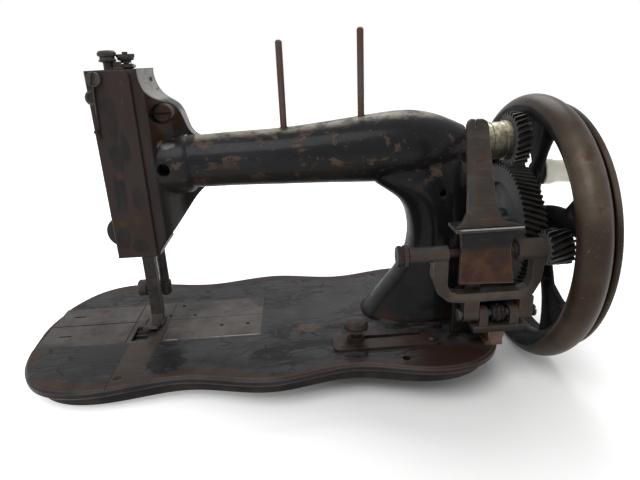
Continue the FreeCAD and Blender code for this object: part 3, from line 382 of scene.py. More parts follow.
def bed_rim(look, flat):
    """Mask of the wear along the wavy edge and at both ends."""
    turn = 2 * math.pi / WAVE_LENGTH
    wave = look.sum("COSINE", look.sum("MULTIPLY_ADD", look.x, turn, -turn * WAVE_START))
    edge = look.sum("MULTIPLY_ADD", wave, WAVE_HEIGHT, WAVE_MIDDLE)
    inward = look.sum("SUBTRACT", edge, look.sum("ABSOLUTE", look.y))
    inward = look.sum("MULTIPLY_ADD", look.noise(34, 8), 34 * MM, inward)
    outward = look.sum("MULTIPLY_ADD", look.noise(34, 8), 30 * MM, look.sum("ABSOLUTE", look.x))
    ends = look.ramp(outward, BED_END, 0, 10)
    return look.all_of(look.either(look.ramp(inward, 0, 30, 26), ends), flat)


def bed_stains(look, tints, flat):
    """Strip before the needle plate and its seam, an oil stain, a bald spot and red wear at the right."""
    before_plate = look.ramp(look.y, PLATE_LOW.y, 1, -1)
    strip = look.all_of(look.between(look.x, PLATE_LOW.x, 4, 27, 1), before_plate, flat,
                        look.grain((0.25, 0.5, 0.7), 60, 8))
    look.over(strip, shade(tints.bed_edge, 0.9))
    seam = look.between(look.x, PLATE_LOW.x, 3.2, 4.1, 0.2)
    look.over(look.all_of(seam, before_plate), SEAM_BLACK)
    ragged = look.noise(110, 8)
    oil = look.all_of(look.blot(look.x, look.y, *OIL_STAIN, ragged), look.step(ragged, 0.30, 0.5, 0.6))
    look.over(oil, OIL_BLACK)
    bald = look.all_of(look.blot(look.x, look.y, *BALD_SPOT, ragged), flat)
    look.over(bald, shade(tints.chips, 0.9))
    red = look.all_of(look.ramp(look.x, RED_LEFT, 0, 28), look.ramp(look.y, RED_BACK, 0, -18),
                      look.grain((0.35, 0.55, 0.45), 20))
    look.over(red, RED_WEAR)


def bed_look(tints):
    """Blue-black cracked varnish, rubbed grey, worn brown along the wavy edge, with a dull skirt."""
    look = Look("worn_black_bed")
    flat = look.step(look.nz, 0.5, 0.9)
    patches = look.noise(13, 9, 0.66, (1, 1.5, 1), 0.5)
    scratches = look.noise(120, 6, 0.7, (0.18, 1, 1))
    worn = look.step(look.sum("MULTIPLY_ADD", scratches, 0.45, patches), 0.62, 0.80)
    worn = look.all_of(worn, flat)
    grey = look.mottle(look.grain((0.35, 0.65), 30, 6), tints.bed_scuff, 0.55)
    look.base = look.mix(look.grain((0.3, 0.7), 22), shade(tints.japan, 1.2), shade(tints.japan, 4.2))
    look.over(worn, grey)
    islands = look.grain((0.53, 0.58), 52, 9, 0.72, (0.4, 1, 1), 0.9)
    left_black = look.all_of(islands, look.grain((0.30, 0.54), 9))
    look.over(left_black, shade(tints.japan, 1.1))
    lines = look.all_of(look.cracks(120, (0.3, 1, 1), 0.08), look.grain((0.42, 0.58), 12, 4), flat)
    look.over(lines, CRACK_BLACK)
    rim = bed_rim(look, flat)
    brown = look.mottle(look.grain((0.35, 0.65), 60), tints.bed_edge, 0.6)
    look.over(rim, brown)
    bed_stains(look, tints, flat)
    below = look.ramp(look.z, SKIRT_TOP, 0.5, -0.5)
    skirt = look.mix(look.grain((0.4, 0.65), 40), SKIRT_DARK, SKIRT_PALE)
    look.over(below, skirt)
    edge = look.all_of(look.edges(2 * MM), look.grain((0.30, 0.5), 40),
                       look.ramp(look.z, SKIRT_TOP, -0.5, 0.5))
    look.over(edge, shade(tints.chips, 1.2))
    rough = look.mix(look.either(worn, rim), (0.40,) * 3, (0.62,) * 3)
    height = look.sum("SUBTRACT", look.sum("MULTIPLY", look.noise(200), 0.4), look.either(islands, lines))
    return look.done(rough, 0.0, height, 0.25 * MM, shine=0.12, coat=0.05)


# Finish of the face plate; blots are placed by x and z

FACE_LOWER = (0.030, 0.020, 0.014)
RUST_SPOT = (0.050, 0.034, 0.021)
PALE_FLECK = (0.055, 0.040, 0.028)
SMEARS = (((-98, 203), (5, 7)), ((-97, 190), (4.5, 14)), ((-91, 174), (3.2, 12)), ((-97, 167), (6.5, 11)),
          ((-99.5, 140), (5, 15)), ((-87.5, 136), (4, 9)), ((-102, 104), (5.5, 9)), ((-92, 98), (7, 5)))
RUST_SPOTS = (((-98.5, 153.5), (2.4, 3.2)), ((-90.2, 118.7), (3.2, 3.6)), ((-101.4, 117), (3, 2.4)))


def face_look(tints):
    """Purplish brown plate with dark oil smears down its middle and a few rust spots."""
    look = Look("face_plate_brown")
    look.base = look.mottle(look.grain((0.35, 0.65), 24, 6, 0.5, (1, 1, 0.3)), tints.face, 1.45)
    lower = look.ramp(look.z, FACE_LOW.z, 61.5, 11.5, 0.0, 0.35)
    look.over(lower, FACE_LOWER)
    ragged = look.noise(150, 9, 0.75, (1, 1, 0.16), 0.2)
    smears = look.blots(look.x, look.z, SMEARS, ragged)
    thin = look.grain((0.30, 0.66, 0.30, 0.90), 160, 8, 0.6, (1, 1, 0.3))
    look.over(look.all_of(smears, thin), tints.smear)
    spots = look.blots(look.x, look.z, RUST_SPOTS, ragged)
    look.over(look.all_of(spots, look.step(ragged, 0.35, 0.6, 0.75, 0.3)), RUST_SPOT)
    look.over(look.grain((0.64, 0.68), 60, 9, 0.7, (1, 1, 0.5)), PALE_FLECK)
    look.over(look.edges(1.2 * MM), shade(tints.face, 2.0))
    rough = look.grain((0.3, 0.7, 0.40, 0.60), 60, 8)
    return look.done(rough, 0.1, look.noise(160, 8), 0.15 * MM, shine=0.10)


# Finish of the bed plates

BED_PLATE_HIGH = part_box("bed_plate_front")[1]


def plate_seams(look):
    """Mask of the dark lines between the plates and round them."""
    lines = [look.between(look.x, x, -0.5, 0.5) for x in (PLATE_LOW.x, PLATE_HIGH.x)]
    for y in (BED_PLATE_HIGH.y, PLATE_LOW.y, PLATE_HIGH.y):
        lines.append(look.between(look.y, y, -0.6, 0.6))
    return look.all_of(look.either(*lines), look.ramp(look.x, BED_PLATE_HIGH.x, 2, -1),
                       look.grain((0.3, 0.45, 0.4), 90))


def steel_look(tints):
    """Stained, scratched steel with dark seams and a bright front edge."""
    look = Look("stained_steel_plate")
    scratches = look.noise(300, 5, 0.7, (0.05, 1, 1))
    stain = look.noise(26, 9, 0.65)
    look.base = look.mottle(look.step(stain, 0.35, 0.68), tints.steel, 0.45)
    look.over(look.grain((0.56, 0.66, 0.0, 0.8), 70, 8), shade(tints.rust, 0.42))
    look.over(look.step(scratches, 0.5, 0.75, 0.0, 0.35), shade(tints.steel, 1.7))
    look.over(plate_seams(look), SEAM_BLACK)
    bright = look.all_of(look.between(look.y, PLATE_LOW.y, 0.5, 1.8), look.ramp(look.x, PLATE_HIGH.x, 1, 7),
                         look.grain((0.42, 0.55), 50))
    look.over(bright, shade(tints.steel, 4.0))
    return look.done(look.step(stain, 0.3, 0.7, 0.40, 0.62), 0.2, scratches, 0.08 * MM, shine=0.22)


# Finishes of bars, bush and gears

BAR_EDGE = (0.10, 0.094, 0.086)
# painted shade colour for the lower side of the bush
NICKEL_PAINTED_SHADE = (0.050, 0.046, 0.032)
GEAR_BLACK = (0.007, 0.007, 0.007)
GEAR_BROWN = (0.022, 0.019, 0.017)
TOOTH_EDGE = (0.07, 0.066, 0.06)


def gunmetal_look(tints):
    """Dark steel with rust specks and bright corners."""
    look = Look("dark_gunmetal")
    cloud = look.noise(90, 8)
    look.base = look.mottle(look.step(cloud, 0.35, 0.7), tints.gunmetal, 2.0)
    look.over(look.grain((0.6, 0.68), 240, 6), shade(tints.rust, 0.6))
    look.over(look.edges(0.7 * MM), BAR_EDGE)
    return look.done(look.step(cloud, 0.3, 0.7, 0.36, 0.58), 0.2, cloud, 0.1 * MM, shine=0.2)


def nickel_look(tints):
    """Yellowed nickel with a painted highlight on its top-facing side and painted shade below, and dark
    patches.
    """
    look = Look("speckled_nickel")
    specks = look.noise(420, 6, 0.7)
    # painted light: brighter where the surface faces up, painted shade where it faces down
    painted_top_light = look.all_of(look.step(specks, 0.36, 0.66, 0.3), look.step(look.nz, 0.2, 0.9, 0.22, 1.0))
    look.base = look.mix(painted_top_light, NICKEL_PAINTED_SHADE, shade(tints.nickel, 1.3))
    look.over(look.grain((0.50, 0.68, 0.0, 0.8), 60), shade(tints.gunmetal, 1.6))
    return look.done(look.step(specks, 0.4, 0.6, 0.46, 0.30), 0.75, specks, 0.05 * MM)


def gear_look(tints):
    """Oily black teeth with pale edges, and dust on the flat that faces left."""
    look = Look("oily_gear_iron")
    flat = look.all_of(look.step(look.nx, -0.8, -0.95), look.grain((0.25, 0.55, 0.4), 45, 8))
    look.base = look.mix(look.grain((0.35, 0.65), 120), GEAR_BLACK, GEAR_BROWN)
    look.over(flat, tints.dust)
    look.over(look.edges(0.5 * MM), TOOTH_EDGE)
    rough = look.mix(flat, (0.34,) * 3, (0.75,) * 3)
    return look.done(rough, 0.2, look.noise(300), 0.1 * MM, shine=0.25)


# Finish of the wheel

RIM_INNER = 92.5 * MM
RUB_AND_HIGHLIGHT_LOW = 128 * MM
RUB_AND_HIGHLIGHT_BACK = -40 * MM
RIM_FRONT = -90 * MM
RIM_WORN = (0.060, 0.043, 0.028)
RIM_RUB_AND_HIGHLIGHT = (0.098, 0.078, 0.060)
RIM_SPECK = (0.095, 0.064, 0.036)


def rim_mask(look):
    """Mask of the rim's outer side, by the distance from the axis and by where the surface faces; on the far
    side the black of the inner side is taken further round as painted shade.
    """
    off_y = look.sum("SUBTRACT", look.y, WHEEL_MIDDLE.y)
    off_z = look.sum("SUBTRACT", look.z, WHEEL_MIDDLE.z)
    squares = look.sum("ADD", look.sum("MULTIPLY", off_y, off_y), look.sum("MULTIPLY", off_z, off_z))
    reach = look.sum("SQRT", squares)
    outward = look.sum("MULTIPLY_ADD", look.ny, off_y, look.sum("MULTIPLY", look.nz, off_z))
    outward = look.sum("DIVIDE", outward, reach)
    outward = look.sum("MULTIPLY_ADD", look.noise(60, 6), 0.2, outward)
    # near the front the black is the inner side's paint; further back it is taken further round as painted
    # shade
    inner = look.ramp(look.y, RIM_FRONT, 0, 60, -0.45, 0.25)
    facing_out = look.step(outward, inner, look.sum("ADD", inner, 0.14))
    return look.all_of(look.ramp(reach, RIM_INNER, -2, 2), facing_out)


def rim_patina(look, tints, cloud):
    """Brown patina, paler at the rim's top front where rubbed wear and a painted highlight lie together,
    with rust in spots and in the groove.
    """
    look.base = look.mottle(look.step(cloud, 0.35, 0.68), tints.rim, 1.6)
    worn = look.grain((0.46, 0.66, 0.0, 0.8), 11, 6, 0.55)
    look.over(worn, RIM_WORN)
    # paler patch at the rim's top front: partly rubbed wear, partly a painted highlight
    rub_and_highlight = look.all_of(look.between(look.z, RUB_AND_HIGHLIGHT_LOW, 0, 44, 22), look.ramp(look.y, RUB_AND_HIGHLIGHT_BACK, 0, -26),
                       look.grain((0.28, 0.64, 0.35), 38, 8, 0.68))
    look.over(rub_and_highlight, RIM_RUB_AND_HIGHLIGHT)
    rusty = look.grain((0.53, 0.66, 0.0, 0.7), 48, 9, 0.65)
    look.over(rusty, shade(tints.rust, 0.45))
    look.over(look.grain((0.66, 0.70), 420, 4), RIM_SPECK)
    groove = look.between(look.x, WHEEL_HIGH.x, -8, -4.5, 0.5)
    look.over(look.all_of(groove, look.step(cloud, 0.2, 0.5)), shade(tints.rust, 0.20))


def wheel_look(tints):
    """Brown rim, black on its inner side, and black spokes; the black reaches further round the rim's far
    side as painted shade.
    """
    look = Look("wheel_patina")
    rim = rim_mask(look)
    cloud = look.noise(22, 8, 0.6)
    black = look.mottle(look.grain((0.4, 0.7), 50), tints.japan, 3.0)
    black = look.mix(look.grain((0.63, 0.66), 85, 9), black, shade(tints.chips, 0.7))
    rim_patina(look, tints, cloud)
    look.base = look.mix(rim, black, look.base)
    rough = look.sum("MULTIPLY_ADD", rim, -0.30, look.step(cloud, 0.3, 0.7, 0.66, 0.80))
    metal = look.sum("MULTIPLY", rim, 0.35)
    return look.done(rough, metal, look.noise(260, 8), 0.12 * MM, shine=0.12, coat=0.03)


# Finish of the bobbin winder

WINDER_EDGE = (0.095, 0.080, 0.068)
SHELF_PAINTED_SHADE = (0.004, 0.004, 0.004)
LIP_PAINTED_HIGHLIGHT = (0.30, 0.27, 0.25)
BAR_BROWN = (0.072, 0.054, 0.043)
APRON_Y = LEVER_LOW.y + 6.3 * MM


def winder_apron(look, tints):
    """Rusty front of the yoke, with a painted shadow along its top under the ledge."""
    apron = look.all_of(look.ramp(look.y, APRON_Y, 0, -0.7), look.ramp(look.z, YOKE_HIGH.z, -0.1, -0.9),
                        look.ramp(look.z, YOKE_HIGH.z, -47.7, -43.7),
                        look.between(look.x, LEVER_LOW.x, 3.2, 46.7))
    rusty = look.mix(look.grain((0.4, 0.62), 75, 8), shade(tints.rust, 0.30), shade(tints.rust, 0.62))
    # painted shadow: black along the apron's top, under the ledge
    top = look.ramp(look.z, YOKE_HIGH.z, -17.7, -10.7)
    look.over(apron, look.mix(top, rusty, shade(tints.japan, 1.4)))


def winder_ledge(look):
    """Painted black shade under the lever's ledge and a painted highlight along its lip."""
    # painted shade on the ledge behind its lip
    shelf_shade = look.all_of(look.between(look.z, YOKE_HIGH.z, -0.5, 2.3, 0.1),
                        look.ramp(look.y, LEVER_LOW.y, 0.6, 1.2))
    look.over(shelf_shade, SHELF_PAINTED_SHADE)
    # painted highlight along the ledge's front lip
    lip_highlight = look.all_of(look.ramp(look.y, LEVER_LOW.y, 0.6, 0.2),
                      look.between(look.z, YOKE_HIGH.z, 1.1, 2.5, 0.3), look.grain((0.35, 0.5), 90))
    look.over(lip_highlight, LIP_PAINTED_HIGHLIGHT)


def winder_look(tints):
    """Brown-grey iron with a rusty apron, filed lever, pale corners and a black foot."""
    look = Look("winder_iron")
    cloud = look.noise(48, 8, 0.6)
    look.base = look.mottle(look.step(cloud, 0.35, 0.68), tints.winder, 1.5)
    look.over(look.grain((0.56, 0.66), 95, 8), shade(tints.rust, 0.6))
    winder_apron(look, tints)
    filed = look.all_of(look.grain((0.52, 0.66, 0.0, 0.5), 420, 4, 0.6, (0.12, 1, 1)),
                        look.ramp(look.z, YOKE_HIGH.z, 4.3, 6.3))
    look.over(filed, shade(tints.winder, 2.2))
    worn = look.all_of(look.edges(0.9 * MM), look.grain((0.40, 0.55), 60))
    look.over(worn, WINDER_EDGE)
    winder_ledge(look)
    bar = look.all_of(look.between(look.z, YOKE_HIGH.z, -56.7, -41.7, 3),
                      look.between(look.x, LEVER_LOW.x, 0.7, 58.7, 4), look.grain((0.3, 0.6, 0.5), 80, 8),
                      look.step(look.ny, -0.2, -0.5))
    look.over(bar, BAR_BROWN)
    foot = look.ramp(look.z, YOKE_LOW.z, -1.5, -7.5, 0.0, 0.8)
    look.over(foot, tints.japan)
    rough = look.grain((0.3, 0.7, 0.40, 0.62), 140)
    return look.done(rough, 0.15, look.noise(260, 8), 0.15 * MM, shine=0.18)


# Finishes of small parts

POST_PALE = (0.11, 0.060, 0.043)
REGULATOR_STAIN = (0.014, 0.0095, 0.0085)
REGULATOR_EDGE = (0.06, 0.045, 0.038)
SCREW_DARK = (0.020, 0.016, 0.014)


def post_look(tints):
    """Rust in two browns, for the winder's post."""
    look = Look("rusty_post")
    look.base = look.mix(look.grain((0.4, 0.62), 110, 8), shade(tints.rust, 0.6), POST_PALE)
    return look.done(0.62, 0.2, look.noise(300, 8), 0.15 * MM)


def regulator_look(tints):
    """Dull stained brown with pale corners, for the regulator and the winder's centre screw."""
    look = Look("dull_brown_plate")
    stain = look.noise(60, 8)
    look.base = look.mix(look.step(stain, 0.35, 0.65), tints.regulator, REGULATOR_STAIN)
    worn = look.all_of(look.edges(0.8 * MM), look.step(stain, 0.4, 0.5))
    look.over(worn, REGULATOR_EDGE)
    return look.done(0.55, 0.15, look.noise(220, 8), 0.1 * MM, shine=0.15)


def pivot_look(tints):
    """Rusty dark screw head in the head's web."""
    look = Look("rusty_screw_head")
    look.base = look.mix(look.grain((0.38, 0.62), 140, 8), shade(tints.rust, 0.34), SCREW_DARK)
    return look.done(0.6, 0.15, look.noise(300, 8), 0.1 * MM, shine=0.12)


def guide_look(tints):
    """Dark strip above, brown as the plate behind it below."""
    look = Look("guide_strip")
    lower = look.ramp(look.z, GUIDE_LOW.z, 20, 17)
    look.base = look.mix(lower, tints.gunmetal, shade(tints.face, 1.2))
    return look.done(0.5, 0.2, look.noise(200, 6), 0.1 * MM, shine=0.12)


def porcelain_look(tints):
    """Cream glaze, a little clouded."""
    look = Look("cream_porcelain")
    look.base = look.mottle(look.grain((0.4, 0.7), 35, 5), tints.porcelain, 0.86)
    return look.done(0.28, 0.0, look.noise(60), 0.05 * MM, coat=0.6)


def spool_look(tints):
    """Dark pins with rust drawn out along them."""
    look = Look("rusted_pin")
    streaks = look.grain((0.4, 0.62), 130, 8, 0.6, (1, 1, 0.3))
    look.base = look.mix(streaks, tints.spool, shade(tints.rust, 0.7))
    return look.done(look.grain((0.3, 0.7, 0.40, 0.62), 260), 0.4, look.noise(300), 0.1 * MM)


LOOKS = {"bed_japan": bed_look, "arm_japan": arm_look, "face_paint": face_look, "plate_steel": steel_look,
         "bar_steel": gunmetal_look, "bush_nickel": nickel_look, "gear_iron": gear_look,
         "wheel_iron": wheel_look, "pin_rust": spool_look, "winder_iron": winder_look,
         "porcelain": porcelain_look}
NODE_LOOKS = (("winder_post", post_look), ("regulator_plate", regulator_look),
              ("regulator_screw", regulator_look), ("winder_centre", regulator_look),
              ("pivot_screw", pivot_look), ("thread_guide", guide_look))


def finish_of(slot):
    """The slot's material, made the first time that it is asked for."""
    known = bpy.context.scene.get("machine_" + slot)
    if known is None:
        known = LOOKS[slot](bpy.context.scene.machine_finishes).name
        bpy.context.scene["machine_" + slot] = known
    return bpy.data.materials[known]


def dress(node, material):
    """Gives a CAD node one material."""
    piece = frame["nodes"][node]
    piece.data.materials.clear()
    piece.data.materials.append(material)


def add_piece(name, bm, slot, body):
    """Turns a bmesh into a finished piece that rides on a body."""
    bmesh.ops.remove_doubles(bm, verts=bm.verts, dist=1e-6)
    bmesh.ops.recalc_face_normals(bm, faces=bm.faces)
    mesh = bpy.data.meshes.new(name)
    bm.to_mesh(mesh)
    bm.free()
    for face in mesh.polygons:
        face.use_smooth = False
    piece = bpy.data.objects.new(name, mesh)
    bpy.context.scene.collection.objects.link(piece)
    mesh.materials.append(finish_of(slot))
    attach(piece, body)


# Small shapes

SLOT_SHARE = 0.11
RIM_SHARE = 0.14
FLOOR_SHARE = 0.97
KNURL_DEPTH = 0.45 * MM
STEPS_PER_RADIAN = 10


def aim(place, direction, turn=0.0):
    """Matrix that carries +Z to a direction at a place, turned about it."""
    quaternion = Vector(UP).rotation_difference(Vector(direction))
    return Matrix.Translation(place) @ quaternion.to_matrix().to_4x4() @ Matrix.Rotation(turn, 4, "Z")


def join(bm, extra, matrix):
    """Adds another bmesh to bm, moved by a matrix."""
    bmesh.ops.recalc_face_normals(extra, faces=extra.faces)
    bmesh.ops.transform(extra, matrix=matrix, verts=extra.verts)
    mesh = bpy.data.meshes.new("joined")
    extra.to_mesh(mesh)
    extra.free()
    bm.from_mesh(mesh)
    bpy.data.meshes.remove(mesh)


def raise_faces(bm, push):
    """Extrudes every face of a bmesh by a vector."""
    raised = bmesh.ops.extrude_face_region(bm, geom=bm.faces[:])
    moved = [item for item in raised["geom"] if isinstance(item, bmesh.types.BMVert)]
    bmesh.ops.translate(bm, verts=moved, vec=push)


def round_edges(bm, edges, offset):
    bmesh.ops.bevel(bm, geom=edges, offset=offset, segments=2, profile=0.5, affect="EDGES", material=-1)


def slab(bm, corners, push, rounding):
    """Rounded plate: a flat outline of corners, extruded by a vector."""
    bm.faces.new([bm.verts.new(corner) for corner in corners])
    raise_faces(bm, push)
    round_edges(bm, bm.edges[:], rounding)


def block(bm, place, size):
    """Box round a place, with its size in millimetres."""
    stretch = Matrix.Diagonal((*(side * MM for side in size), 1))
    bmesh.ops.create_cube(bm, size=1.0, matrix=Matrix.Translation(place) @ stretch)


def slotted_head(bm, radius, height, matrix):
    """Screw head with a straight slot: two half discs with a rounded rim on a lower disc."""
    for side in (1, -1):
        half = bmesh.new()
        bmesh.ops.create_circle(half, cap_ends=True, segments=32, radius=radius)
        bmesh.ops.bisect_plane(half, geom=half.verts[:] + half.edges[:] + half.faces[:],
                               plane_co=(0, side * radius * SLOT_SHARE, 0), plane_no=(0, side, 0),
                               clear_inner=True)
        raise_faces(half, (0, 0, height))
        rim = [edge for edge in half.edges if all(vert.co.z > height / 2 for vert in edge.verts)]
        round_edges(half, rim, radius * RIM_SHARE)
        join(bm, half, matrix)
    floor = bmesh.new()
    bmesh.ops.create_cone(floor, cap_ends=True, segments=32, radius1=radius * FLOOR_SHARE,
                          radius2=radius * FLOOR_SHARE, depth=height / 2,
                          matrix=Matrix.Translation((0, 0, height / 4)))
    join(bm, floor, matrix)


def add_screws(name, slot, body, radius, height, places):
    """Adds one piece of slotted heads, each with its place, direction and turn."""
    bm = bmesh.new()
    for place, direction, turn in places:
        slotted_head(bm, radius, height, aim(place, direction, turn))
    add_piece(name, bm, slot, body)


def knurled_band(bm, radius, depth, count, matrix):
    """Ring of ridges round a thumb screw's head, centred on the matrix's origin."""
    band = bmesh.new()
    ring = bmesh.ops.create_circle(band, cap_ends=True, segments=2 * count, radius=radius)["verts"]
    valleys = [vert for index, vert in enumerate(ring) if index % 2]
    inset = 1 - KNURL_DEPTH / radius
    bmesh.ops.scale(band, vec=(inset, inset, 1), verts=valleys)
    raise_faces(band, (0, 0, depth))
    bmesh.ops.translate(band, verts=band.verts, vec=(0, 0, -depth / 2))
    join(bm, band, matrix)


def bent_wire(bm, radius, bend, angle, matrix):
    """Round wire bent through an angle, lying in the XY plane and starting on +X."""
    wire = bmesh.new()
    start = Matrix.Translation((bend, 0, 0)) @ Matrix.Rotation(math.pi / 2, 4, "X")
    ring = bmesh.ops.create_circle(wire, segments=12, radius=radius, matrix=start)
    full = angle >= 2 * math.pi
    bmesh.ops.spin(wire, geom=ring["verts"] + wire.edges[:], axis=(0, 0, 1), cent=(0, 0, 0), angle=angle,
                   steps=int(angle * STEPS_PER_RADIAN), use_merge=full)
    if not full:
        bmesh.ops.holes_fill(wire, edges=wire.edges, sides=0)
    join(bm, wire, matrix)


def straight_pin(bm, radius, start, end, taper):
    """Round pin from start to end, thinner by taper at its end."""
    start, end = Vector(start), Vector(end)
    pin = bmesh.new()
    bmesh.ops.create_cone(pin, cap_ends=True, segments=20, radius1=radius, radius2=radius - taper,
                          depth=(end - start).length)
    join(bm, pin, aim((start + end) / 2, end - start))


# Places of the added pieces, in millimetres where MM is not named; a screw's turn comes last, in radians

SUNK = 0.1 * MM
PLATE_INSET = 7 * MM
HOLD_X = 107 * MM
HOLD_Y = 77 * MM
HOLD_TURNS = ((-1, -1, 0.4), (-1, 1, 1.3), (1, 1, 2.2))
COVER_SCREWS = ((-104, 222, 0.3), (-82, 214, 1.2), (-104, 96, 2.2), (-66, 182, 0.8), (-60, 128, 1.7))
SHOULDER_SCREWS = ((-74.2, 15, 220.2, 0.3), (-72.0, 20, 211.5, 1.2))
SHOULDER_FACING = (1, 0, 0.12)
STRAP = Vector((FACE_HIGH.x - 13.5 * MM, FACE_HIGH.y + 20.2 * MM, HEAD_TOP))
# outline of the black plate that stands as painted shade in the cavity behind the hinge
SHADE_PLATE_OUTLINE = ((150, 16), (185, 16), (199, 30), (204, 48), (200, 60), (156, 60), (150, 52))
SHADE_PLATE_Y = -48.5 * MM
SHADE_PLATE_DEPTH = 5 * MM
COILS = ((-3.4, 4.6), (0.0, 5.4), (3.4, 4.6))
SPOKES = 5
FLARE_X = WHEEL_HIGH.x - 15 * MM
FLARE_DEPTH = 5.6 * MM
FLARE_OUTLINE = ((44, 80), (56, 77.5), (70, 74), (82, 70), (89, 66), (94, 60), (95, 84), (86, 91), (72, 90),
                 (56, 85))
COLLAR_PROFILE = ((-6.5, 8.95), (-6.5, 10.0), (-5.8, 10.7), (0.5, 10.8), (2.2, 10.6), (2.2, 8.95))

# Knurled bands: piece, node, body, axis, radius and depth in millimetres, share of the node's length

KNURLS = (("knurl_pressure", "pressure_screw", "pressure", UP, 6.55, 2.0, 0.841),
          ("knurl_tension", "tension_nut", "tension", UP, 6.6, 2.2, 0.95),
          ("knurl_clamp", "clamp_screw", "clamp_thumb", RIGHT, 7.2, 5.6, 0.345),
          ("knurl_centre", "winder_centre", "centre", RIGHT, 8.2, 2.4, 0.125),
          ("knurl_regulator", "regulator_screw", "regulator", UP, 10.0, 1.5, 0.66))


# Operators

class MACHINE_OT_dress_solids(bpy.types.Operator):
    """Gives every solid of the machine its worn finish"""
    bl_idname = "machine.dress_solids"
    bl_label = "Dress the solids"

    def execute(self, context):
        for part in frame["record"]["subparts"]:
            dress(part["node"], finish_of(part["material_slot"]))
        for node, look in NODE_LOOKS:
            dress(node, look(context.scene.machine_finishes))
        return {"FINISHED"}


class MACHINE_OT_bed_screws(bpy.types.Operator):
    """Adds the screws of the regulator plate and those left in the bed's holes"""
    bl_idname = "machine.bed_screws"
    bl_label = "Bed screws"

    def execute(self, context):
        sizes = context.scene.machine_sizes
        low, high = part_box("regulator_plate")
        ends = ((low.x + PLATE_INSET, 0.7), (high.x - PLATE_INSET, 1.9))
        places = [((x, low.y + PLATE_INSET, high.z - SUNK), UP, turn) for x, turn in ends]
        add_screws("regulator_plate_screws", "bar_steel", "frame", sizes.plate_screw, 0.6 * MM, places)
        depth = BED_TOP - 1.3 * MM
        places = [((side * HOLD_X, end * HOLD_Y, depth), UP, turn) for side, end, turn in HOLD_TURNS]
        add_screws("hold_down_screws", "bed_japan", "frame", sizes.hold_screw, 1.2 * MM, places)
        return {"FINISHED"}


class MACHINE_OT_head_fittings(bpy.types.Operator):
    """Adds the screws, wire guides and strap on the head"""
    bl_idname = "machine.head_fittings"
    bl_label = "Head fittings"

    def execute(self, context):
        sizes = context.scene.machine_sizes
        self.thread_guide(sizes)
        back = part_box("rear_cover")[1].y - SUNK
        places = [((x * MM, back, z * MM), BACK, turn) for x, z, turn in COVER_SCREWS]
        add_screws("rear_cover_screws", "bar_steel", "frame", sizes.cover_screw, 1.6 * MM, places)
        self.strap()
        places = [((x * MM, y * MM, z * MM), SHOULDER_FACING, turn) for x, y, z, turn in SHOULDER_SCREWS]
        add_screws("shoulder_screws", "bar_steel", "frame", sizes.shoulder_screw, 0.8 * MM, places)
        return {"FINISHED"}

    def thread_guide(self, sizes):
        """Screw of the thread guide, with a straight wire and a hook."""
        bm = bmesh.new()
        place = (GUIDE_HIGH.x + 0.8 * MM, FACE_LOW.y - 1.5 * MM, HEAD_TOP - 5.6 * MM)
        slotted_head(bm, sizes.guide_screw, 2.4 * MM, aim(place, FRONT, 1.35))
        wire_y = FACE_LOW.y - 2.2 * MM
        start = (GUIDE_HIGH.x - 0.6 * MM, wire_y, HEAD_TOP - 10 * MM)
        end = (GUIDE_HIGH.x - 1.7 * MM, wire_y, HEAD_TOP - 30.5 * MM)
        straight_pin(bm, sizes.wire, start, end, 0.6 * MM)
        hook = (GUIDE_LOW.x + 2.6 * MM, wire_y + 1.2 * MM, HEAD_TOP - 18 * MM)
        bent_wire(bm, sizes.hook, 4.2 * MM, math.pi, aim(hook, FRONT, math.pi / 2))
        add_piece("thread_guide_screw", bm, "bar_steel", "frame")

    def strap(self):
        """Strap beside the tension post: a foot on the head and an upright wall."""
        bm = bmesh.new()
        block(bm, STRAP + Vector((0, 0, 0.6)) * MM, (9, 4, 1.2))
        block(bm, STRAP + Vector((0.4, -1.0, 2.9)) * MM, (6, 1.8, 5.0))
        round_edges(bm, bm.edges[:], 0.4 * MM)
        add_piece("tension_strap", bm, "bar_steel", "frame")


class MACHINE_OT_knurls(bpy.types.Operator):
    """Adds the knurled bands of the thumb screws"""
    bl_idname = "machine.knurls"
    bl_label = "Knurled bands"

    def execute(self, context):
        count = context.scene.machine_sizes.knurls
        for name, node, body, axis, radius, depth, share in KNURLS:
            low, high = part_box(node)
            along = Vector(axis)
            place = middle(node) + along * ((high - low).dot(along) * (share - 0.5))
            bm = bmesh.new()
            knurled_band(bm, radius * MM, depth * MM, count, aim(place, along))
            add_piece(name, bm, "bar_steel", body)
        return {"FINISHED"}


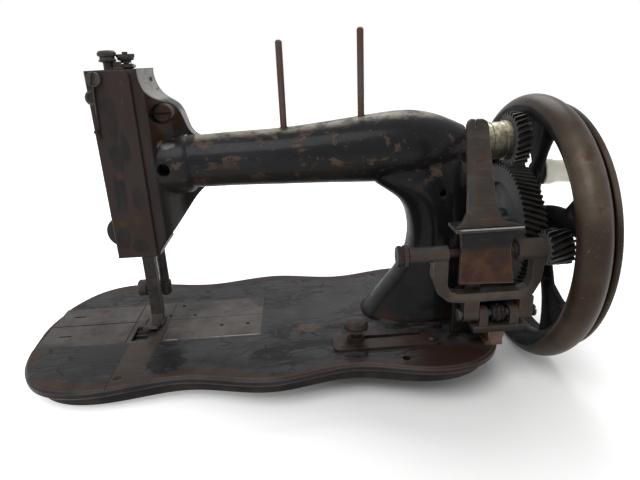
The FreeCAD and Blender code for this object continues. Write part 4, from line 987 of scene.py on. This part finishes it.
class MACHINE_OT_winder_fittings(bpy.types.Operator):
    """Adds the bobbin winder's screws, the coils on its hinge and a black plate behind the hinge that is
    painted shade for the dark cavity there
    """
    bl_idname = "machine.winder_fittings"
    bl_label = "Winder fittings"

    def execute(self, context):
        sizes = context.scene.machine_sizes
        low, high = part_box("hinge_pin")
        hinge = middle("hinge_pin")
        places = [((low.x + SUNK, hinge.y, hinge.z), LEFT, 0.5),
                  ((high.x - SUNK, hinge.y, hinge.z), RIGHT, 0.9)]
        add_screws("hinge_screw_heads", "bar_steel", "frame", sizes.hinge_screw, 2.0 * MM, places)

        place = (LEVER_LOW.x + 13.1 * MM, LEVER_LOW.y + 1.8 * MM + SUNK, LEVER_HIGH.z - 27.8 * MM)
        add_screws("lever_screw", "winder_iron", "lever", sizes.lever_screw, 0.5 * MM, [(place, FRONT, 0.2)])

        bm = bmesh.new()
        sleeve_x = hinge.x + 0.5 * MM
        for offset, radius in COILS:
            place = (sleeve_x + offset * MM, hinge.y, hinge.z)
            bent_wire(bm, sizes.coil, radius * MM, 2 * math.pi, aim(place, RIGHT))
        add_piece("hinge_spring_coils", bm, "arm_japan", "frame")

        # black plate behind the hinge: painted shade filling the dark cavity there
        bm = bmesh.new()
        corners = [(x * MM, SHADE_PLATE_Y, z * MM) for x, z in SHADE_PLATE_OUTLINE]
        slab(bm, corners, (0, SHADE_PLATE_DEPTH, 0), 1.2 * MM)
        add_piece("hinge_shade_plate", bm, "arm_japan", "frame")
        return {"FINISHED"}


class MACHINE_OT_wheel_fittings(bpy.types.Operator):
    """Adds the flares where the spokes meet the rim, and the collar of the crank grip"""
    bl_idname = "machine.wheel_fittings"
    bl_label = "Wheel fittings"

    def execute(self, context):
        self.flares()
        self.collar()
        return {"FINISHED"}

    def flares(self):
        """One flare for each spoke; its outline is in millimetres from the axis and degrees about it."""
        bm = bmesh.new()
        for spoke in range(SPOKES):
            corners = []
            for reach, swing in FLARE_OUTLINE:
                angle = math.radians(swing + 360 / SPOKES * spoke)
                corners.append((FLARE_X, WHEEL_MIDDLE.y + reach * MM * math.cos(angle),
                                WHEEL_MIDDLE.z + reach * MM * math.sin(angle)))
            flare = bmesh.new()
            slab(flare, corners, (FLARE_DEPTH, 0, 0), 1.6 * MM)
            join(bm, flare, Matrix())
        add_piece("spoke_flares", bm, "wheel_iron", "wheel")

    def collar(self):
        """Ring round the grip's inner end, its profile in millimetres along and away from the axis."""
        grip = middle("handle_grip")
        grip_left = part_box("handle_grip")[0].x
        bm = bmesh.new()
        ring = []
        for x, radius in COLLAR_PROFILE:
            ring.append(bm.verts.new((grip_left + x * MM, grip.y, grip.z + radius * MM)))
        edges = [bm.edges.new(pair) for pair in zip(ring, ring[1:] + ring[:1])]
        bmesh.ops.spin(bm, geom=ring + edges, axis=(1, 0, 0), cent=(0, grip.y, grip.z), angle=2 * math.pi,
                       steps=48, use_merge=True)
        add_piece("grip_collar", bm, "porcelain", "grip")


# Studio

PAPER = (0.90, 0.90, 0.895)
GLOW_CENTRE = (0.13, -0.05, 0)
GLOW_NEAR = 0.07
GLOW_FAR = 0.30
GLOW_STRENGTH = 0.55
WORLD_LIGHT = 0.55
WORLD_SEEN = 1.0
LAMPS = (("key_light", (-0.35, -0.75, 1.35), 1.1, 13.0), ("back_light", (0.35, 0.9, 1.2), 1.0, 9.0))
LAMP_TARGET = Vector((0, 0, 0.08))
CAMERA_PLACE = (0.0286, -0.3951, 0.2307)
CAMERA_PITCH = math.radians(20.074)
CAMERA_ROLL = math.radians(2.373)
CAMERA_YAW = math.radians(-3.040)
FOCAL_PIXELS = 500.0
PHOTO_WIDTH = 640.0


def seen(graph, strength):
    """Strength for camera, glossy and transmitted rays, and nothing for the rest."""
    rays = graph.add("LightPath", {})
    total = graph.sum("MAXIMUM", rays["Is Camera Ray"], rays["Is Glossy Ray"])
    total = graph.sum("MAXIMUM", total, rays["Is Transmission Ray"])
    return graph.sum("MULTIPLY", total, strength)


class MACHINE_OT_stage(bpy.types.Operator):
    """Sets the studio: a pale floor under the leaning machine, soft light and the camera"""
    bl_idname = "machine.stage"
    bl_label = "Stage"

    def execute(self, context):
        scene = context.scene
        floor = self.floor(scene)
        self.light(scene)
        self.camera(scene)
        scene.view_settings.view_transform = "Standard"
        return {"FINISHED"}

    def floor(self, scene):
        """The machine leans on the bed's left edge and on the wheel, so the floor slopes in its frame."""
        bed_left = BED_LOW.x + 7 * MM
        wheel_x = WHEEL_MIDDLE.x - 3.6 * MM
        slope = math.atan2(-WHEEL_LOW.z, wheel_x - bed_left)
        bm = bmesh.new()
        turn = Matrix.Translation((bed_left, 0, 0)) @ Matrix.Rotation(slope, 4, "Y")
        bmesh.ops.create_grid(bm, x_segments=1, y_segments=1, size=scene.machine_sizes.floor, matrix=turn)
        mesh = bpy.data.meshes.new("studio_floor")
        bm.to_mesh(mesh)
        bm.free()
        floor = bpy.data.objects.new("studio_floor", mesh)
        scene.collection.objects.link(floor)
        mesh.materials.append(self.paper())
        return floor

    def paper(self):
        """White paper that keeps the shadow near the machine and glows to pure white further away."""
        material = bpy.data.materials.new("white_paper")
        graph = Graph(material)
        shader = graph.nodes["Principled BSDF"]
        graph.feed(shader.inputs["Base Color"], PAPER)
        graph.feed(shader.inputs["Roughness"], 0.9)
        place = graph.add("TexCoord", {})["Object"]
        reach = graph.add("VectorMath", {0: place, 1: GLOW_CENTRE}, operation="DISTANCE")["Value"]
        fade = graph.add("MapRange", {"Value": reach, "From Min": GLOW_NEAR, "From Max": GLOW_FAR,
                                      "To Min": 0.0, "To Max": GLOW_STRENGTH})[0]
        glow = graph.add("Emission", {"Strength": seen(graph, fade)})[0]
        both = graph.add("AddShader", {0: shader.outputs[0], 1: glow})[0]
        graph.feed(graph.nodes["Material Output"].inputs["Surface"], both)
        return material

    def light(self, scene):
        """White surroundings, brighter to the eye than as light, and two soft lamps."""
        world = bpy.data.worlds.new("studio_white")
        scene.world = world
        graph = Graph(world)
        strength = graph.add("MapRange", {"Value": seen(graph, 1.0), "To Min": WORLD_LIGHT,
                                          "To Max": WORLD_SEEN})[0]
        background = graph.nodes["Background"]
        graph.feed(background.inputs["Color"], (1, 1, 1))
        graph.feed(background.inputs["Strength"], strength)
        for name, place, size, power in LAMPS:
            lamp = bpy.data.lights.new(name, "AREA")
            lamp.shape = "DISK"
            lamp.size = size
            lamp.energy = power
            holder = bpy.data.objects.new(name, lamp)
            holder.matrix_world = aim(place, Vector(place) - LAMP_TARGET)
            scene.collection.objects.link(holder)

    def camera(self, scene):
        """Camera at the photograph's place, turned by its pitch, roll and yaw."""
        side = Vector((math.cos(CAMERA_YAW), math.sin(CAMERA_YAW), 0))
        ahead = Vector((-math.sin(CAMERA_YAW), math.cos(CAMERA_YAW), 0))
        up = Vector(UP)
        look = ahead * math.cos(CAMERA_PITCH) - up * math.sin(CAMERA_PITCH)
        top = ahead * math.sin(CAMERA_PITCH) + up * math.cos(CAMERA_PITCH)
        right = side * math.cos(CAMERA_ROLL) - top * math.sin(CAMERA_ROLL)
        high = side * math.sin(CAMERA_ROLL) + top * math.cos(CAMERA_ROLL)
        lens = bpy.data.cameras.new("photo_camera")
        lens.sensor_width = 36.0
        lens.lens = lens.sensor_width * FOCAL_PIXELS / PHOTO_WIDTH
        lens.clip_start = 10 * MM
        camera = bpy.data.objects.new("photo_camera", lens)
        turn = Matrix((right, high, -look)).transposed().to_4x4()
        camera.matrix_world = Matrix.Translation(CAMERA_PLACE) @ turn
        scene.collection.objects.link(camera)
        scene.camera = camera


STEPS = (MACHINE_OT_dress_solids, MACHINE_OT_bed_screws, MACHINE_OT_head_fittings, MACHINE_OT_knurls,
         MACHINE_OT_winder_fittings, MACHINE_OT_wheel_fittings, MACHINE_OT_stage)


class MACHINE_PT_sidebar(bpy.types.Panel):
    """Lists the steps that dress the machine"""
    bl_label = "Sewing machine"
    bl_idname = "MACHINE_PT_sidebar"
    bl_space_type = "VIEW_3D"
    bl_region_type = "UI"
    bl_category = "Machine"

    def draw(self, context):
        for step in STEPS:
            self.layout.operator(step.bl_idname)
        for group in (context.scene.machine_sizes, context.scene.machine_finishes):
            for name in group.__annotations__:
                self.layout.prop(group, name)


CLASSES = (MachineFinishes, MachineSizes, *STEPS, MACHINE_PT_sidebar)


def register():
    for item in CLASSES:
        bpy.utils.register_class(item)
    bpy.types.Scene.machine_finishes = PointerProperty(type=MachineFinishes)
    bpy.types.Scene.machine_sizes = PointerProperty(type=MachineSizes)


def unregister():
    del bpy.types.Scene.machine_sizes
    del bpy.types.Scene.machine_finishes
    for item in reversed(CLASSES):
        bpy.utils.unregister_class(item)


def main():
    register()
    for step in STEPS:
        group, name = step.bl_idname.split(".")
        getattr(getattr(bpy.ops, group), name)()


if __name__ == "__main__":
    main()
